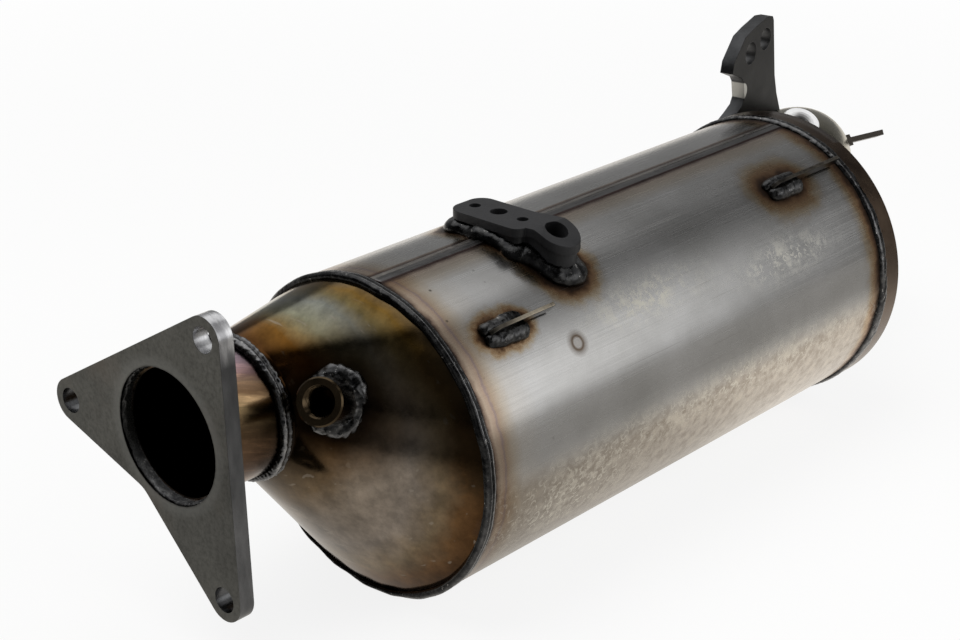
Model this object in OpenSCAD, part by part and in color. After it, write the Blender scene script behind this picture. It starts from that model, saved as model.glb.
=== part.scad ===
// Exhaust particulate filter: a welded stainless canister with an oxidation catalyst brick
// and a wall-flow filter brick inside, an offset inlet cone with a three-lobe flange,
// an offset outlet cone with an elbow, sensor bosses, a mounting eye bracket,
// heat shield tabs and a hanger plate.
// Origin: centre of the inlet bore on the gasket face. +X runs to the outlet, +Z is up.
// All sizes are in millimetres.

/* [Canister] */
// Outer radius of the shell
can_r = 78; // [66:0.5:95]
// Wall of the shell
shell_t = 1.5; // [1:0.1:2.5]
// Length between the front weld and the rear weld
can_len = 310; // [280:1:360]
// Canister axis, sideways from the inlet axis
can_y = -31.2; // [-36:0.1:-24]
// Canister axis, height from the inlet axis
can_z = -22; // [-27:0.1:-16]
// Radius of the round weld bead at the canister ends
ring_bead_r = 2.7; // [2.4:0.1:3.4]
// Depth of the front bead's centre below the shell face
front_bead_sink = 1.7; // [1.3:0.1:2.2]
// Depth of the rear bead's centre below the shell face
rear_bead_sink = 0.8; // [0.4:0.1:1.2]
// Width of the lengthwise seam weld, degrees
seam_deg = 6; // [4:0.5:9]
// Height of the lengthwise seam weld
seam_h = 0.7; // [0.4:0.1:1.2]

/* [Inlet] */
// Outer radius of the inlet pipe
pipe_r = 31.5; // [28:0.25:35]
// Wall of the pipes
pipe_t = 1.5; // [1:0.1:2.5]
// Depth of the register in the gasket face
reg_depth = 3.5; // [3:0.25:4]
// Step from the register down to the pipe seat
reg_step = 0.4; // [0.4:0.1:1.5]
// Depth of the pipe end behind the gasket face
pipe_recess = 6; // [5:0.5:6.5]
// Thickness of the flange
flange_t = 8; // [7:0.5:12]
// Radius of the round lobes of the flange
lobe_r = 10.5; // [9:0.25:13]
// Radius of the flange bolt holes
bolt_r = 6; // [4.5:0.1:7]
// Side lobe, sideways
lobe_a_y = 68.2; // [64:0.2:76]
// Side lobe, height
lobe_a_z = -4.3; // [-10:0.1:2]
// Upper lobe, sideways
lobe_b_y = -28.1; // [-33:0.1:-24]
// Upper lobe, height
lobe_b_z = 53.8; // [50:0.2:62]
// Lower lobe, sideways
lobe_c_y = -32.4; // [-38:0.1:-28]
// Lower lobe, height
lobe_c_z = -67.9; // [-76:0.1:-64]
// Fillet in the hollow side of the flange
hollow_r = 14; // [6:1:30]
// Distance from the gasket face to the cone
cone_x = 44.5; // [40:0.5:60]
// Length of the inlet cone
cone_len = 44.3; // [40:0.5:60]
// Sheet thickness of both cones
cone_t = 1.5; // [1.2:0.1:2]
// Radius of the weld bead on the pipes
pipe_bead_r = 2.7; // [2.4:0.1:3.6]

/* [Sensor bosses] */
// Outer radius of a boss
boss_r = 10.8; // [9.5:0.1:12.5]
// Radius of the tapped hole
boss_hole_r = 6.2; // [5:0.1:7]
// Height of the front boss over the cone
boss_h = 20; // [14:0.5:26]
// Position of the front boss along the cone, as a share of its length
boss_f = 0.24; // [0.22:0.01:0.3]
// Position of the front boss round the cone, degrees from the top
boss_a = 65.5; // [58:0.5:72]
// Lean of the front boss towards the inlet, degrees
boss_lean = 55.4; // [50:0.2:60]
// Turn of the front boss, degrees from the top
boss_turn = 45; // [40:0.5:52]
// Height of the rear boss over the outlet pipe
boss2_h = 4.2; // [3.4:0.1:8]
// Lean of the rear boss towards the canister, degrees
boss2_lean = 14; // [0:1:16]
// Turn of the rear boss, degrees from the top
boss2_turn = 27; // [24:0.5:36]
// Width of the weld round a boss
boss_bead = 5; // [3.5:0.25:5.5]

/* [Outlet] */
// Outer radius of the outlet pipe
out_r = 30.5; // [27:0.25:31]
// Outlet axis, sideways
out_y = -1.9; // [-6:0.1:-1]
// Outlet axis, height
out_z = 10.8; // [4:0.1:12]
// Length of the skirt sleeved over the shell
skirt_len = 12; // [10:0.5:16]
// Length of the outlet cone
out_cone_len = 26; // [25:0.5:44]
// Straight pipe before the elbow
out_straight = 24.5; // [24:0.5:30]
// Centre line radius of the elbow
bend_r = 35; // [33:0.5:48]
// Plain pipe end after the elbow
stub_len = 34; // [26:1:60]

/* [Bricks] */
// Thickness of the support mats
mat_t = 4.6; // [3:0.1:6]
// Length of the catalyst brick
cat_len = 76; // [60:1:90]
// Channel pitch of the bricks
cell_pitch = 13; // [12:0.5:18]
// Wall between two channels
cell_wall = 2.4; // [2:0.2:4]
// Length of the plug at a closed channel end
plug_len = 9; // [6:0.5:14]
// Gap from the front weld to the catalyst brick
brick_gap = 18; // [16:0.5:22]
// Gap between the bricks
mid_gap = 18; // [16:0.5:24]
// Gap from the filter brick to the rear weld
rear_gap = 20; // [18:0.5:26]
// Clearance from the retaining ring to the rear weld
ring_clear = 8; // [6:0.5:10]

/* [Mounting eye bracket] */
// Distance of the bracket from the front weld
eye_x = 84; // [70:0.5:120]
// Height of the bracket plate over the canister crown
eye_rise = 9.4; // [8:0.1:12]
// Width of the bracket plate
eye_w = 24.4; // [22:0.2:28]
// Plate end on the far side, from the canister axis
eye_y1 = 17; // [14:0.2:20]
// Thickness of the overhanging plate edge
eye_lip = 4.4; // [3:0.2:6]
// Step from the plate edge to the foot
eye_inset = 1.6; // [1:0.1:2.4]
// Radius of the eye
eye_r = 11; // [10:0.1:13]
// Radius of the hole in the eye
eye_hole_r = 5.7; // [4:0.1:6.5]
// Tilt of the eye face, degrees
eye_tilt = 26; // [20:1:30]
// Radius of the middle hole
eye_mid_r = 4.1; // [3:0.1:5]
// Radius of the two small holes
eye_small_r = 2.7; // [2:0.1:3.5]
// Width of the weld round the foot
eye_bead = 4.4; // [3:0.2:6]

/* [Heat shield tabs] */
// Sheet thickness of the tabs
tab_t = 2; // [1.5:0.1:3]
// Height of the tabs
tab_h = 6.5; // [5.5:0.25:9]
// Clearance under the free end of a tab
tab_lift = 1.6; // [1:0.1:2.5]
// Length of the welded foot of a tab
tab_foot = 27; // [22:0.5:32]
// Front tab, start from the front weld
tab1_x = 23; // [20:0.5:40]
// Front tab, length
tab1_len = 41; // [38:0.5:60]
// Front tab, degrees from the top
tab1_a = 42.5; // [40:0.5:55]
// Rear tab, start ahead of the rear weld
tab2_back = 61; // [60:1:100]
// Rear tab, length
tab2_len = 59; // [42:0.5:60]
// Rear tab, degrees from the top
tab2_a = 34.5; // [30:0.5:50]
// Radius of the tab weld
tab_bead = 5.5; // [4.5:0.1:6.5]

/* [Hanger plate] */
// Thickness of the hanger plate
hang_t = 8; // [6:0.25:10]
// Turn of the plate from the canister axis, degrees
hang_turn = 8; // [4:0.5:12]
// Height of the plate over the canister axis
hang_top = 116; // [110:0.5:125]
// Distance of the plate's middle ahead of the elbow
hang_back = 16; // [14:0.2:18]
// Distance of the plate from the outlet axis, sideways
hang_side = 17.6; // [16:0.2:19]
// Radius of the two bolt holes
hang_hole_r = 6.5; // [5:0.1:7.5]
// Width of the weld at the plate foot
hang_bead = 4.5; // [3:0.25:6]

/* [Hidden] */
$fn = 96;
// Facets of the rounds that are lofted
loft_fn = 64;
// Thickness of the discs that a loft runs between
disc = 0.02;
// Depth that a cutting tool runs past a face
past = 1;
// Clearance between neighbours that don't touch
clear = 0.3;
can_x = cone_x + cone_len;
rear_x = can_x + can_len;
in_r = can_r - shell_t;
skirt_x = rear_x + 5;
skirt_r = can_r + cone_t;
out_cone_x = skirt_x + skirt_len;
out_x = out_cone_x + out_cone_len;
bend_x = out_x + out_straight;
neck_len = 5;
out_neck = 1.5;
spigot_len = 8;
shell_end = out_cone_x - 4;
// Distance of a ring bead's centre ahead of the sheet edge
bead_ahead = 0.8;
seam_x = can_x + sqrt(pow(ring_bead_r, 2) - pow(front_bead_sink, 2)) - bead_ahead + clear;
// Turn of the seam weld from the top, degrees
seam_turn = 4.5;
// Height of a pipe bead's centre over the pipe, and its distance from the edge of the neck
pipe_bead_up = 0.9;
pipe_bead_in = 0.6;
// Depth of the boss roots below the face they stand on
boss_root = 7;
boss2_root = 6;
// Chamfer at the mouth of the front boss
boss_chamfer = 1;
// Reach of a cutting tool below and above a boss foot
boss_deep = 14;
boss_tall = 40;
// Share of the weld width that the rear boss has
boss2_bead = boss_bead * 0.6;
// Height of the rear boss weld over the pipe
boss2_bead_h = 2.4;
reg_r = pipe_r + reg_step;
// Shift that keeps the sheet of a steep cone as thick as that of a flat one
cone_shift = cone_t * 0.72;
brick_r = in_r - mat_t;
cat_x = can_x + brick_gap;
filter_x = cat_x + cat_len + mid_gap;
filter_len = can_len - brick_gap - cat_len - mid_gap - rear_gap;
// Length of brick left bare at each end of its mat
mat_end = 3;
// Sheet of the inner rings, and how far their lips stand in over the brick
ring_t = 1.5;
ring_lip = mat_t + 3;
tab2_x = can_len - tab2_back;
crown_z = can_z + can_r;
eye_z = crown_z + eye_rise;
// Eye centre, from the canister axis
eye_cy = -36.5;
eye_cx = 5.2;
eye_corner = 8;
eye_plate_end = -28;
// Corner of the plate beside the eye
eye_notch = 5;
// Where the plate turns down to the eye
eye_fold = eye_cy + 4;
// Holes in the level plate, from the far end to the eye
eye_far = [0, 9.6];
eye_mid = [1.2, -4.3];
eye_near = [0.9, -19.4];
// Reach of a cutting tool below the plate
eye_deep = can_r / 2;
// Depth of the holes in the level plate, and of the eye's bore
eye_blind = eye_rise - 1.4;
eye_bore = eye_rise + 4.6;
bend_dir = atan2(0.7, 0.714);
// Slope at the end of a tab's foot, bevel at its start, depth of the foot before it is cut to the shell
tab_slope = 3;
tab_nose = 5;
tab_bevel = 3;
tab_sink = 1;
// Start of the tab weld, and depth of its centre below the shell face
tab_weld_x = 2;
tab_weld_sink = 0.6;
// Outlet tab: length, width, sheet, and the part of its length inside the weld
tab3_len = 36;
tab3_w = 10;
tab3_t = 3.2;
tab3_root = 12;
// Weld round the outlet tab: reach past the tab sideways, along it and over the elbow
tab3_bead = 1.8;
tab3_bead_len = 30;
tab3_bead_h = 3.2;
hang_x = bend_x - hang_back;
hang_y = out_y + hang_side;
// Height at which the outline of the hanger plate is drawn
hang_drawn = 116;

function cross2(a, b) = a[0] * b[1] - a[1] * b[0];
function unit2(a) = a / norm(a);
function outward(a, b) = let (d = unit2(b - a)) [d[1], -d[0]];
function dir2(a) = [cos(a), sin(a)];

// A round bar along X from x0 to x1
module xbar(r, x0, x1)
{
    translate([x0, 0, 0])
        rotate([0, 90, 0])
            cylinder(r = r, h = x1 - x0);
}

// A tube along X
module xtube(r, t, x0, x1)
{
    difference()
    {
        xbar(r, x0, x1);
        xbar(r - t, x0 - past, x1 + past);
    }
}

// Children placed on the canister axis
module on_can()
{
    translate([0, can_y, can_z])
        children();
}

// Children placed on the outlet axis
module on_out()
{
    translate([0, out_y, out_z])
        children();
}

// A round bead about the X axis: centre radius r at x, bead radius b
module xring(r, x, b)
{
    translate([x, 0, 0])
        rotate([0, 90, 0])
            rotate_extrude()
                translate([r, 0])
                    circle(r = b);
}

// Solid inside of the inlet cone's outer face, grown by g
module inlet_cone_solid(g)
{
    hull()
    {
        translate([cone_x, 0, 0])
            rotate([0, 90, 0])
                cylinder(r = pipe_r + cone_t + g, h = disc, $fn = loft_fn);
        translate([can_x - disc, can_y, can_z])
            rotate([0, 90, 0])
                cylinder(r = in_r + g, h = disc, $fn = loft_fn);
    }
}

// Room inside the inlet cone
module inlet_cone_room()
{
    hull()
    {
        translate([cone_x + cone_shift, 0, 0])
            rotate([0, 90, 0])
                cylinder(r = pipe_r, h = disc, $fn = loft_fn);
        translate([can_x + cone_shift, can_y, can_z])
            rotate([0, 90, 0])
                cylinder(r = in_r - cone_t, h = disc, $fn = loft_fn);
    }
}

// Solid inside of the outlet cone's outer face, grown by g
module outlet_cone_solid(g)
{
    hull()
    {
        translate([out_cone_x, can_y, can_z])
            rotate([0, 90, 0])
                cylinder(r = skirt_r + g, h = disc, $fn = loft_fn);
        translate([out_x - disc, out_y, out_z])
            rotate([0, 90, 0])
                cylinder(r = out_r + cone_t + g, h = disc, $fn = loft_fn);
    }
}

// Room inside the outlet cone
module outlet_cone_room()
{
    hull()
    {
        translate([out_cone_x - cone_shift, can_y, can_z])
            rotate([0, 90, 0])
                cylinder(r = can_r, h = disc, $fn = loft_fn);
        translate([out_x - cone_shift, out_y, out_z])
            rotate([0, 90, 0])
                cylinder(r = out_r, h = disc, $fn = loft_fn);
    }
}

// Outline of the flange in its own plane: first value sideways, second value height
module flange_outline()
{
    a = [lobe_a_y, lobe_a_z];
    b = [lobe_b_y, lobe_b_z];
    c = [lobe_c_y, lobe_c_z];
    dc = dir2(45);
    da = dir2(18);
    nc = [dc[1], -dc[0]];
    na = [da[1], -da[0]];
    c2 = c + lobe_r * nc;
    a2 = a + lobe_r * na;
    v = c2 + dc * (cross2(a2 - c2, da) / cross2(dc, da));
    run = hollow_r * tan(13.5);
    mid = v - dc * run + nc * hollow_r;
    polygon([a + lobe_r * outward(a, b), b + lobe_r * outward(a, b),
        b + lobe_r * outward(b, c), c + lobe_r * outward(b, c), c2, v, a2]);
    for (p = [a, b, c])
        translate(p)
            circle(r = lobe_r);
    difference()
    {
        polygon([v - 2 * nc, v - dc * run - 2 * nc, v - dc * run, mid, v + da * run, v + da * run - 2 * na]);
        translate(mid)
            circle(r = hollow_r);
    }
}

module inlet_flange()
{
    color([0.33, 0.33, 0.32])
        difference()
        {
            rotate([90, 0, 90])
                linear_extrude(flange_t)
                    flange_outline();
            xbar(reg_r, -past, reg_depth);
            xbar(pipe_r, 0, flange_t + past);
            for (p = [[lobe_a_y, lobe_a_z], [lobe_b_y, lobe_b_z], [lobe_c_y, lobe_c_z]])
                translate([0, p[0], p[1]])
                    xbar(bolt_r, -past, flange_t + past);
        }
}

module inlet_pipe()
{
    color([0.52, 0.42, 0.32])
        xtube(pipe_r, pipe_t, pipe_recess, cone_x + cone_shift);
}

// Fillet between the pipe end and the seat in the flange, inside
module inlet_flange_weld()
{
    color([0.2, 0.2, 0.2])
        rotate([0, 90, 0])
            rotate_extrude()
                polygon([[pipe_r, reg_depth], [pipe_r, pipe_recess], [pipe_r - pipe_t, pipe_recess],
                    [pipe_r - pipe_t * 0.6, (reg_depth + pipe_recess) / 2]]);
}

// Bead on the neck of the inlet cone, not yet cut to the sheets
module inlet_pipe_bead()
{
    xring(pipe_r + pipe_bead_up, cone_x - neck_len + pipe_bead_in, pipe_bead_r);
}

module inlet_pipe_weld()
{
    color([0.17, 0.17, 0.17])
        difference()
        {
            inlet_pipe_bead();
            xbar(pipe_r, 0, can_x);
            xbar(pipe_r + cone_t, cone_x - neck_len, can_x);
            inlet_cone_solid(0);
        }
}

// Direction and foot of the front boss on the cone
module at_front_boss()
{
    r = (pipe_r + cone_t) * (1 - boss_f) + in_r * boss_f;
    translate([cone_x + cone_len * boss_f,
            can_y * boss_f - r * sin(boss_a), can_z * boss_f + r * cos(boss_a)])
        rotate([boss_turn, 0, 0])
            rotate([0, -boss_lean, 0])
                children();
}

module inlet_cone()
{
    color([0.45, 0.38, 0.3])
        difference()
        {
            union()
            {
                inlet_cone_solid(0);
                xbar(pipe_r + cone_t, cone_x - neck_len, cone_x + past);
                on_can()
                    xbar(in_r, can_x - disc, can_x + spigot_len);
            }
            inlet_cone_room();
            xbar(pipe_r, 0, cone_x + cone_shift);
            on_can()
                xbar(in_r - cone_t, can_x + cone_shift, can_x + spigot_len + past);
            at_front_boss()
                translate([0, 0, -boss_deep])
                    cylinder(r = boss_r, h = boss_h + boss_deep);
        }
}

module front_boss()
{
    color([0.42, 0.33, 0.2])
        at_front_boss()
            difference()
            {
                translate([0, 0, -boss_root])
                    cylinder(r = boss_r, h = boss_h + boss_root);
                translate([0, 0, -boss_deep])
                    cylinder(r = boss_hole_r, h = boss_h + boss_deep + past);
                translate([0, 0, boss_h - boss_chamfer])
                    cylinder(r1 = boss_hole_r, r2 = boss_hole_r + boss_chamfer + past, h = boss_chamfer + past);
            }
}

module front_boss_weld()
{
    color([0.17, 0.17, 0.17])
        difference()
        {
            intersection()
            {
                at_front_boss()
                    translate([0, 0, -boss_deep])
                        cylinder(r = boss_r + boss_bead, h = boss_h + boss_deep);
                inlet_cone_solid(boss_bead);
            }
            inlet_cone_solid(0);
            at_front_boss()
                translate([0, 0, -boss_deep - past])
                    cylinder(r = boss_r, h = boss_h + boss_tall);
            xbar(pipe_r, 0, can_x);
            inlet_pipe_weld_room();
        }
}

// Room taken by the bead of the inlet pipe
module inlet_pipe_weld_room()
{
    inlet_pipe_bead();
    xbar(pipe_r + cone_t, cone_x - neck_len, cone_x + past);
}

module canister_shell()
{
    color([0.66, 0.65, 0.62])
        on_can()
            xtube(can_r, shell_t, can_x, shell_end);
}

// Raised lengthwise weld between the two ring welds
module seam_weld()
{
    color([0.4, 0.37, 0.34])
        on_can()
            intersection()
            {
                difference()
                {
                    xbar(can_r + seam_h, seam_x, rear_x);
                    xbar(can_r, can_x, skirt_x);
                }
                rotate([seam_turn, 0, 0])
                    rotate([90, 0, 90])
                        translate([0, 0, can_x])
                            linear_extrude(can_len + past)
                                polygon([[0, 0], 2 * can_r * dir2(90 - seam_deg / 2),
                                    2 * can_r * dir2(90 + seam_deg / 2)]);
            }
}

module front_ring_weld()
{
    color([0.17, 0.17, 0.17])
        difference()
        {
            on_can()
                xring(can_r - front_bead_sink, can_x - bead_ahead, ring_bead_r);
            on_can()
                xbar(can_r, can_x, rear_x);
            on_can()
                xbar(in_r, can_x - disc, rear_x);
            inlet_cone_solid(0);
            seam_weld();
        }
}

// A grid of square channels over the brick face; odd = 0 or 1 picks every second one, 2 all
module channels(odd, x0, x1)
{
    n = floor(brick_r / cell_pitch);
    side = cell_pitch - cell_wall;
    for (i = [-n : n])
        for (j = [-n : n])
            if (norm([abs(i) + 0.5, abs(j) + 0.5]) * cell_pitch < brick_r - 1
                && (odd == 2 || (i + j + 2 * n) % 2 == odd))
                translate([x0, i * cell_pitch - side / 2, j * cell_pitch - side / 2])
                    cube([x1 - x0, side, side]);
}

module catalyst_brick()
{
    color([0.72, 0.68, 0.6])
        on_can()
            difference()
            {
                xbar(brick_r, cat_x, cat_x + cat_len);
                channels(2, cat_x - past, cat_x + cat_len + past);
            }
}

module catalyst_mat()
{
    color([0.85, 0.84, 0.8])
        on_can()
            xtube(in_r, mat_t, cat_x + mat_end, cat_x + cat_len - mat_end);
}

// Wall-flow brick: every second channel is closed at the inlet, the others at the outlet
module filter_brick()
{
    color([0.45, 0.44, 0.43])
        on_can()
            difference()
            {
                xbar(brick_r, filter_x, filter_x + filter_len);
                channels(0, filter_x - past, filter_x + filter_len - plug_len);
                channels(1, filter_x + plug_len, filter_x + filter_len + past);
            }
}

module filter_mat()
{
    color([0.85, 0.84, 0.8])
        on_can()
            xtube(in_r, mat_t, filter_x + mat_end, filter_x + filter_len - mat_end);
}

module spacer_ring()
{
    color([0.6, 0.6, 0.58])
        on_can()
        {
            xtube(in_r, ring_t, cat_x + cat_len, filter_x);
            xtube(in_r, ring_lip, cat_x + cat_len, cat_x + cat_len + ring_t);
            xtube(in_r, ring_lip, filter_x - ring_t, filter_x);
        }
}

module retaining_ring()
{
    color([0.6, 0.6, 0.58])
        on_can()
        {
            xtube(in_r, ring_t, filter_x + filter_len, rear_x - ring_clear);
            xtube(in_r, ring_lip, filter_x + filter_len, filter_x + filter_len + ring_t);
        }
}

module outlet_cone()
{
    color([0.3, 0.24, 0.19])
        difference()
        {
            union()
            {
                outlet_cone_solid(0);
                on_can()
                    xbar(skirt_r, skirt_x, out_cone_x + disc);
                on_out()
                    xbar(out_r + cone_t, out_x - 1, out_x + out_neck);
            }
            outlet_cone_room();
            on_can()
                xbar(can_r, skirt_x - past, out_cone_x - cone_shift);
            on_out()
                xbar(out_r, out_x - cone_shift, out_x + out_neck + past);
        }
}

// Bead at the edge of the skirt, grown by g, not yet cut to the sheets
module rear_bead(g)
{
    on_can()
        xring(can_r - rear_bead_sink, skirt_x - bead_ahead, ring_bead_r + g);
}

module rear_ring_weld()
{
    color([0.17, 0.17, 0.17])
        difference()
        {
            rear_bead(0);
            on_can()
                xbar(can_r, can_x, out_cone_x);
            on_can()
                xbar(skirt_r, skirt_x, out_cone_x);
            seam_weld();
        }
}

// Children turned so that their Z axis is the direction away from the elbow's turn
module out_up()
{
    rotate([bend_dir, 0, 0])
        children();
}

// Elbow and stub as a bar of radius r, run past both ends by g
module outlet_run(r, g)
{
    on_out()
        out_up()
        {
            xbar(r, out_x - cone_shift - g, bend_x);
            translate([bend_x, 0, -bend_r])
                rotate([-90, 0, 0])
                    rotate([0, 0, -90])
                        rotate_extrude(angle = 90)
                            translate([bend_r, 0])
                                circle(r = r);
            translate([bend_x + bend_r, 0, -bend_r])
                rotate([0, 90, 0])
                    xbar(r, 0, stub_len + g);
        }
}

// The outlet pipe in one run: straight tube, elbow, stub
module outlet_tube()
{
    on_out()
        out_up()
        {
            xtube(out_r, pipe_t, out_x - cone_shift, bend_x);
            translate([bend_x, 0, -bend_r])
                rotate([-90, 0, 0])
                    rotate([0, 0, -90])
                        rotate_extrude(angle = 90)
                            translate([bend_r, 0])
                                difference()
                                {
                                    circle(r = out_r);
                                    circle(r = out_r - pipe_t);
                                }
            translate([bend_x + bend_r, 0, -bend_r])
                rotate([0, 90, 0])
                    xtube(out_r, pipe_t, 0, stub_len);
        }
}

module outlet_pipe()
{
    color([0.42, 0.38, 0.3])
        difference()
        {
            outlet_tube();
            at_rear_boss()
                translate([0, 0, -boss_deep])
                    cylinder(r = boss_r, h = boss_tall);
        }
}

module outlet_pipe_weld()
{
    color([0.17, 0.17, 0.17])
        difference()
        {
            on_out()
                xring(out_r + pipe_bead_up, out_x + out_neck - pipe_bead_in, pipe_bead_r);
            on_out()
                xbar(out_r, out_cone_x, bend_x);
            on_out()
                xbar(out_r + cone_t, out_cone_x, out_x + out_neck);
            outlet_cone_solid(0);
            rear_boss_room();
            hanger_room();
        }
}

// Foot of the rear boss on top of the outlet pipe
module at_rear_boss()
{
    on_out()
        rotate([boss2_turn, 0, 0])
            translate([bend_x - boss_r, 0, out_r])
                rotate([0, -boss2_lean, 0])
                    children();
}

module rear_boss_room()
{
    at_rear_boss()
        translate([0, 0, -boss_deep])
            cylinder(r = boss_r + boss2_bead, h = boss_tall);
}

module rear_boss()
{
    color([0.8, 0.8, 0.8])
        at_rear_boss()
            difference()
            {
                translate([0, 0, -boss2_root])
                    cylinder(r = boss_r, h = boss2_h + boss2_root);
                translate([0, 0, -boss_deep])
                    cylinder(r = boss_hole_r, h = boss_tall);
            }
}

module rear_boss_weld()
{
    color([0.17, 0.17, 0.17])
        difference()
        {
            intersection()
            {
                rear_boss_room();
                on_out()
                    xbar(out_r + boss2_bead_h, out_cone_x, bend_x + boss_bead);
            }
            on_out()
                xbar(out_r, out_cone_x - past, bend_x + boss_bead + past);
            at_rear_boss()
                translate([0, 0, -boss_deep - past])
                    cylinder(r = boss_r, h = boss_tall + 2 * past);
            outlet_cone_solid(0);
            on_out()
                xbar(out_r + cone_t, out_cone_x, out_x + out_neck);
            hanger_room();
        }
}

// Plan of the eye bracket, drawn in by g
module eye_plan(g)
{
    w = eye_w / 2 - g;
    c = eye_corner - g;
    for (s = [-1, 1])
        translate([s * (eye_w / 2 - eye_corner), eye_y1 - eye_corner])
            circle(r = c);
    translate([-(eye_w / 2 - eye_corner), eye_y1 - eye_corner])
        square([eye_w - 2 * eye_corner, c]);
    translate([-w, eye_plate_end + eye_notch])
        square([2 * w, eye_y1 - eye_corner - eye_plate_end - eye_notch]);
    translate([eye_notch - eye_w / 2, eye_plate_end + eye_notch])
        circle(r = eye_notch - g);
    translate([eye_notch - eye_w / 2, eye_plate_end + g])
        square([eye_w - eye_notch - g, eye_notch]);
    translate([eye_cx, eye_cy])
        circle(r = eye_r - g);
    polygon([[eye_notch - w, eye_plate_end + g + 2], [eye_cx - eye_r + g, eye_cy],
        [eye_cx + eye_r - g, eye_cy], [w, eye_plate_end + 12]]);
}

// Top of the bracket, seen along X: level plate, then the tilted eye
module eye_side(h)
{
    e = eye_cy - eye_r - 2 * past;
    drop = (eye_fold - e) * tan(eye_tilt);
    rotate([90, 0, 90])
        translate([0, 0, -eye_w])
            linear_extrude(2 * eye_w)
                polygon([[eye_y1 + past, -h], [eye_y1 + past, 0], [eye_fold, 0],
                    [e, -drop], [e, -drop - h], [eye_fold, -h]]);
}

module at_eye()
{
    translate([can_x + eye_x, can_y, eye_z])
        children();
}

module eye_holes()
{
    at_eye()
    {
        for (h = [[eye_far, eye_small_r], [eye_mid, eye_mid_r], [eye_near, eye_small_r]])
            translate([h[0][0], h[0][1], -eye_blind])
                cylinder(r = h[1], h = eye_blind + past);
        translate([eye_cx, eye_cy, -(eye_fold - eye_cy) * tan(eye_tilt)])
            rotate([eye_tilt, 0, 0])
                translate([0, 0, -eye_bore])
                    cylinder(r = eye_hole_r, h = 2 * eye_bore);
    }
}

module eye_bracket()
{
    color([0.14, 0.14, 0.14])
        difference()
        {
            at_eye()
            {
                intersection()
                {
                    translate([0, 0, -eye_deep])
                        linear_extrude(2 * eye_deep)
                            eye_plan(0);
                    eye_side(eye_lip);
                }
                intersection()
                {
                    translate([0, 0, -eye_deep])
                        linear_extrude(2 * eye_deep)
                            eye_plan(eye_inset);
                    eye_side(eye_deep);
                }
            }
            on_can()
                xbar(can_r, can_x, rear_x);
            seam_weld();
            eye_holes();
        }
}

module eye_bracket_weld()
{
    color([0.17, 0.17, 0.17])
        difference()
        {
            intersection()
            {
                at_eye()
                    translate([0, 0, -eye_deep])
                        linear_extrude(2 * eye_deep)
                            eye_plan(eye_inset - eye_bead);
                on_can()
                    xbar(can_r + eye_bead, can_x, rear_x);
            }
            on_can()
                xbar(can_r, can_x, rear_x);
            at_eye()
                translate([0, 0, -eye_deep])
                    linear_extrude(2 * eye_deep)
                        eye_plan(eye_inset);
            at_eye()
                eye_side(eye_lip);
            seam_weld();
        }
}

// Children on the shell at an angle from the top, X from the front weld, Z outward
module on_shell(x, a)
{
    translate([can_x + x, can_y, can_z])
        rotate([a, 0, 0])
            children();
}

// A strip that stands on the shell: welded foot, then a free end with a clearance
module tab(len)
{
    rotate([90, 0, 0])
        translate([0, 0, -tab_t / 2])
            linear_extrude(tab_t)
                polygon([[0, can_r - tab_sink], [tab_foot - tab_slope, can_r - tab_sink],
                    [tab_foot, can_r + tab_lift], [len, can_r + tab_lift], [len, can_r + tab_h],
                    [tab_nose, can_r + tab_h], [0, can_r + tab_h - tab_bevel]]);
}

// Weld blob along the foot of a tab
module tab_blob()
{
    end = tab_foot - tab_slope - tab_bead;
    for (s = [-1, 1])
        translate([0, s * tab_t, can_r - tab_weld_sink])
        {
            xbar(tab_bead, tab_weld_x, end);
            for (x = [tab_weld_x, end])
                translate([x, 0, 0])
                    sphere(r = tab_bead);
        }
}

module front_tab()
{
    color([0.4, 0.37, 0.32])
        difference()
        {
            on_shell(tab1_x, tab1_a)
                tab(tab1_len);
            on_can()
                xbar(can_r, can_x, rear_x);
        }
}

module front_tab_weld()
{
    color([0.15, 0.15, 0.15])
        difference()
        {
            on_shell(tab1_x, tab1_a)
                tab_blob();
            on_can()
                xbar(can_r, can_x, rear_x);
            on_shell(tab1_x, tab1_a)
                tab(tab1_len);
        }
}

module rear_tab()
{
    color([0.4, 0.37, 0.32])
        difference()
        {
            on_shell(tab2_x, tab2_a)
                tab(tab2_len);
            on_can()
                xbar(can_r, can_x, skirt_x);
            rear_bead(clear);
        }
}

module rear_tab_weld()
{
    color([0.15, 0.15, 0.15])
        difference()
        {
            on_shell(tab2_x, tab2_a)
                tab_blob();
            on_can()
                xbar(can_r, can_x, rear_x);
            on_shell(tab2_x, tab2_a)
                tab(tab2_len);
        }
}

module at_hanger()
{
    translate([hang_x, hang_y, can_z])
        rotate([0, 0, hang_turn])
            children();
}

// Outline of the hanger plate: first value along the plate, second the height over the axis
module hanger_outline()
{
    k = hang_top / hang_drawn;
    difference()
    {
        polygon(k * [[16, 116], [24, 115], [25.5, 112.5], [31, 78], [35, 66], [41, 54], [44, 28],
            [-22, 28], [-24, 63], [-17.5, 65.5], [-10, 69], [-7.5, 73], [-9.5, 83], [-12, 86],
            [-24, 91], [-22.2, 97.5], [-10, 109.5], [0, 112.5]]);
        translate(k * [-2, 98.5])
            circle(r = hang_hole_r);
        translate(k * [16, 103.2])
            circle(r = hang_hole_r);
    }
}

// The hanger plate as a slab, grown by g on both faces, not yet cut to the cone
module hanger_slab(g)
{
    at_hanger()
        translate([0, hang_t + g, 0])
            rotate([90, 0, 0])
                linear_extrude(hang_t + 2 * g)
                    hanger_outline();
}

// Room of the hanger foot with its weld
module hanger_room()
{
    hanger_slab(hang_bead);
}

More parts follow.
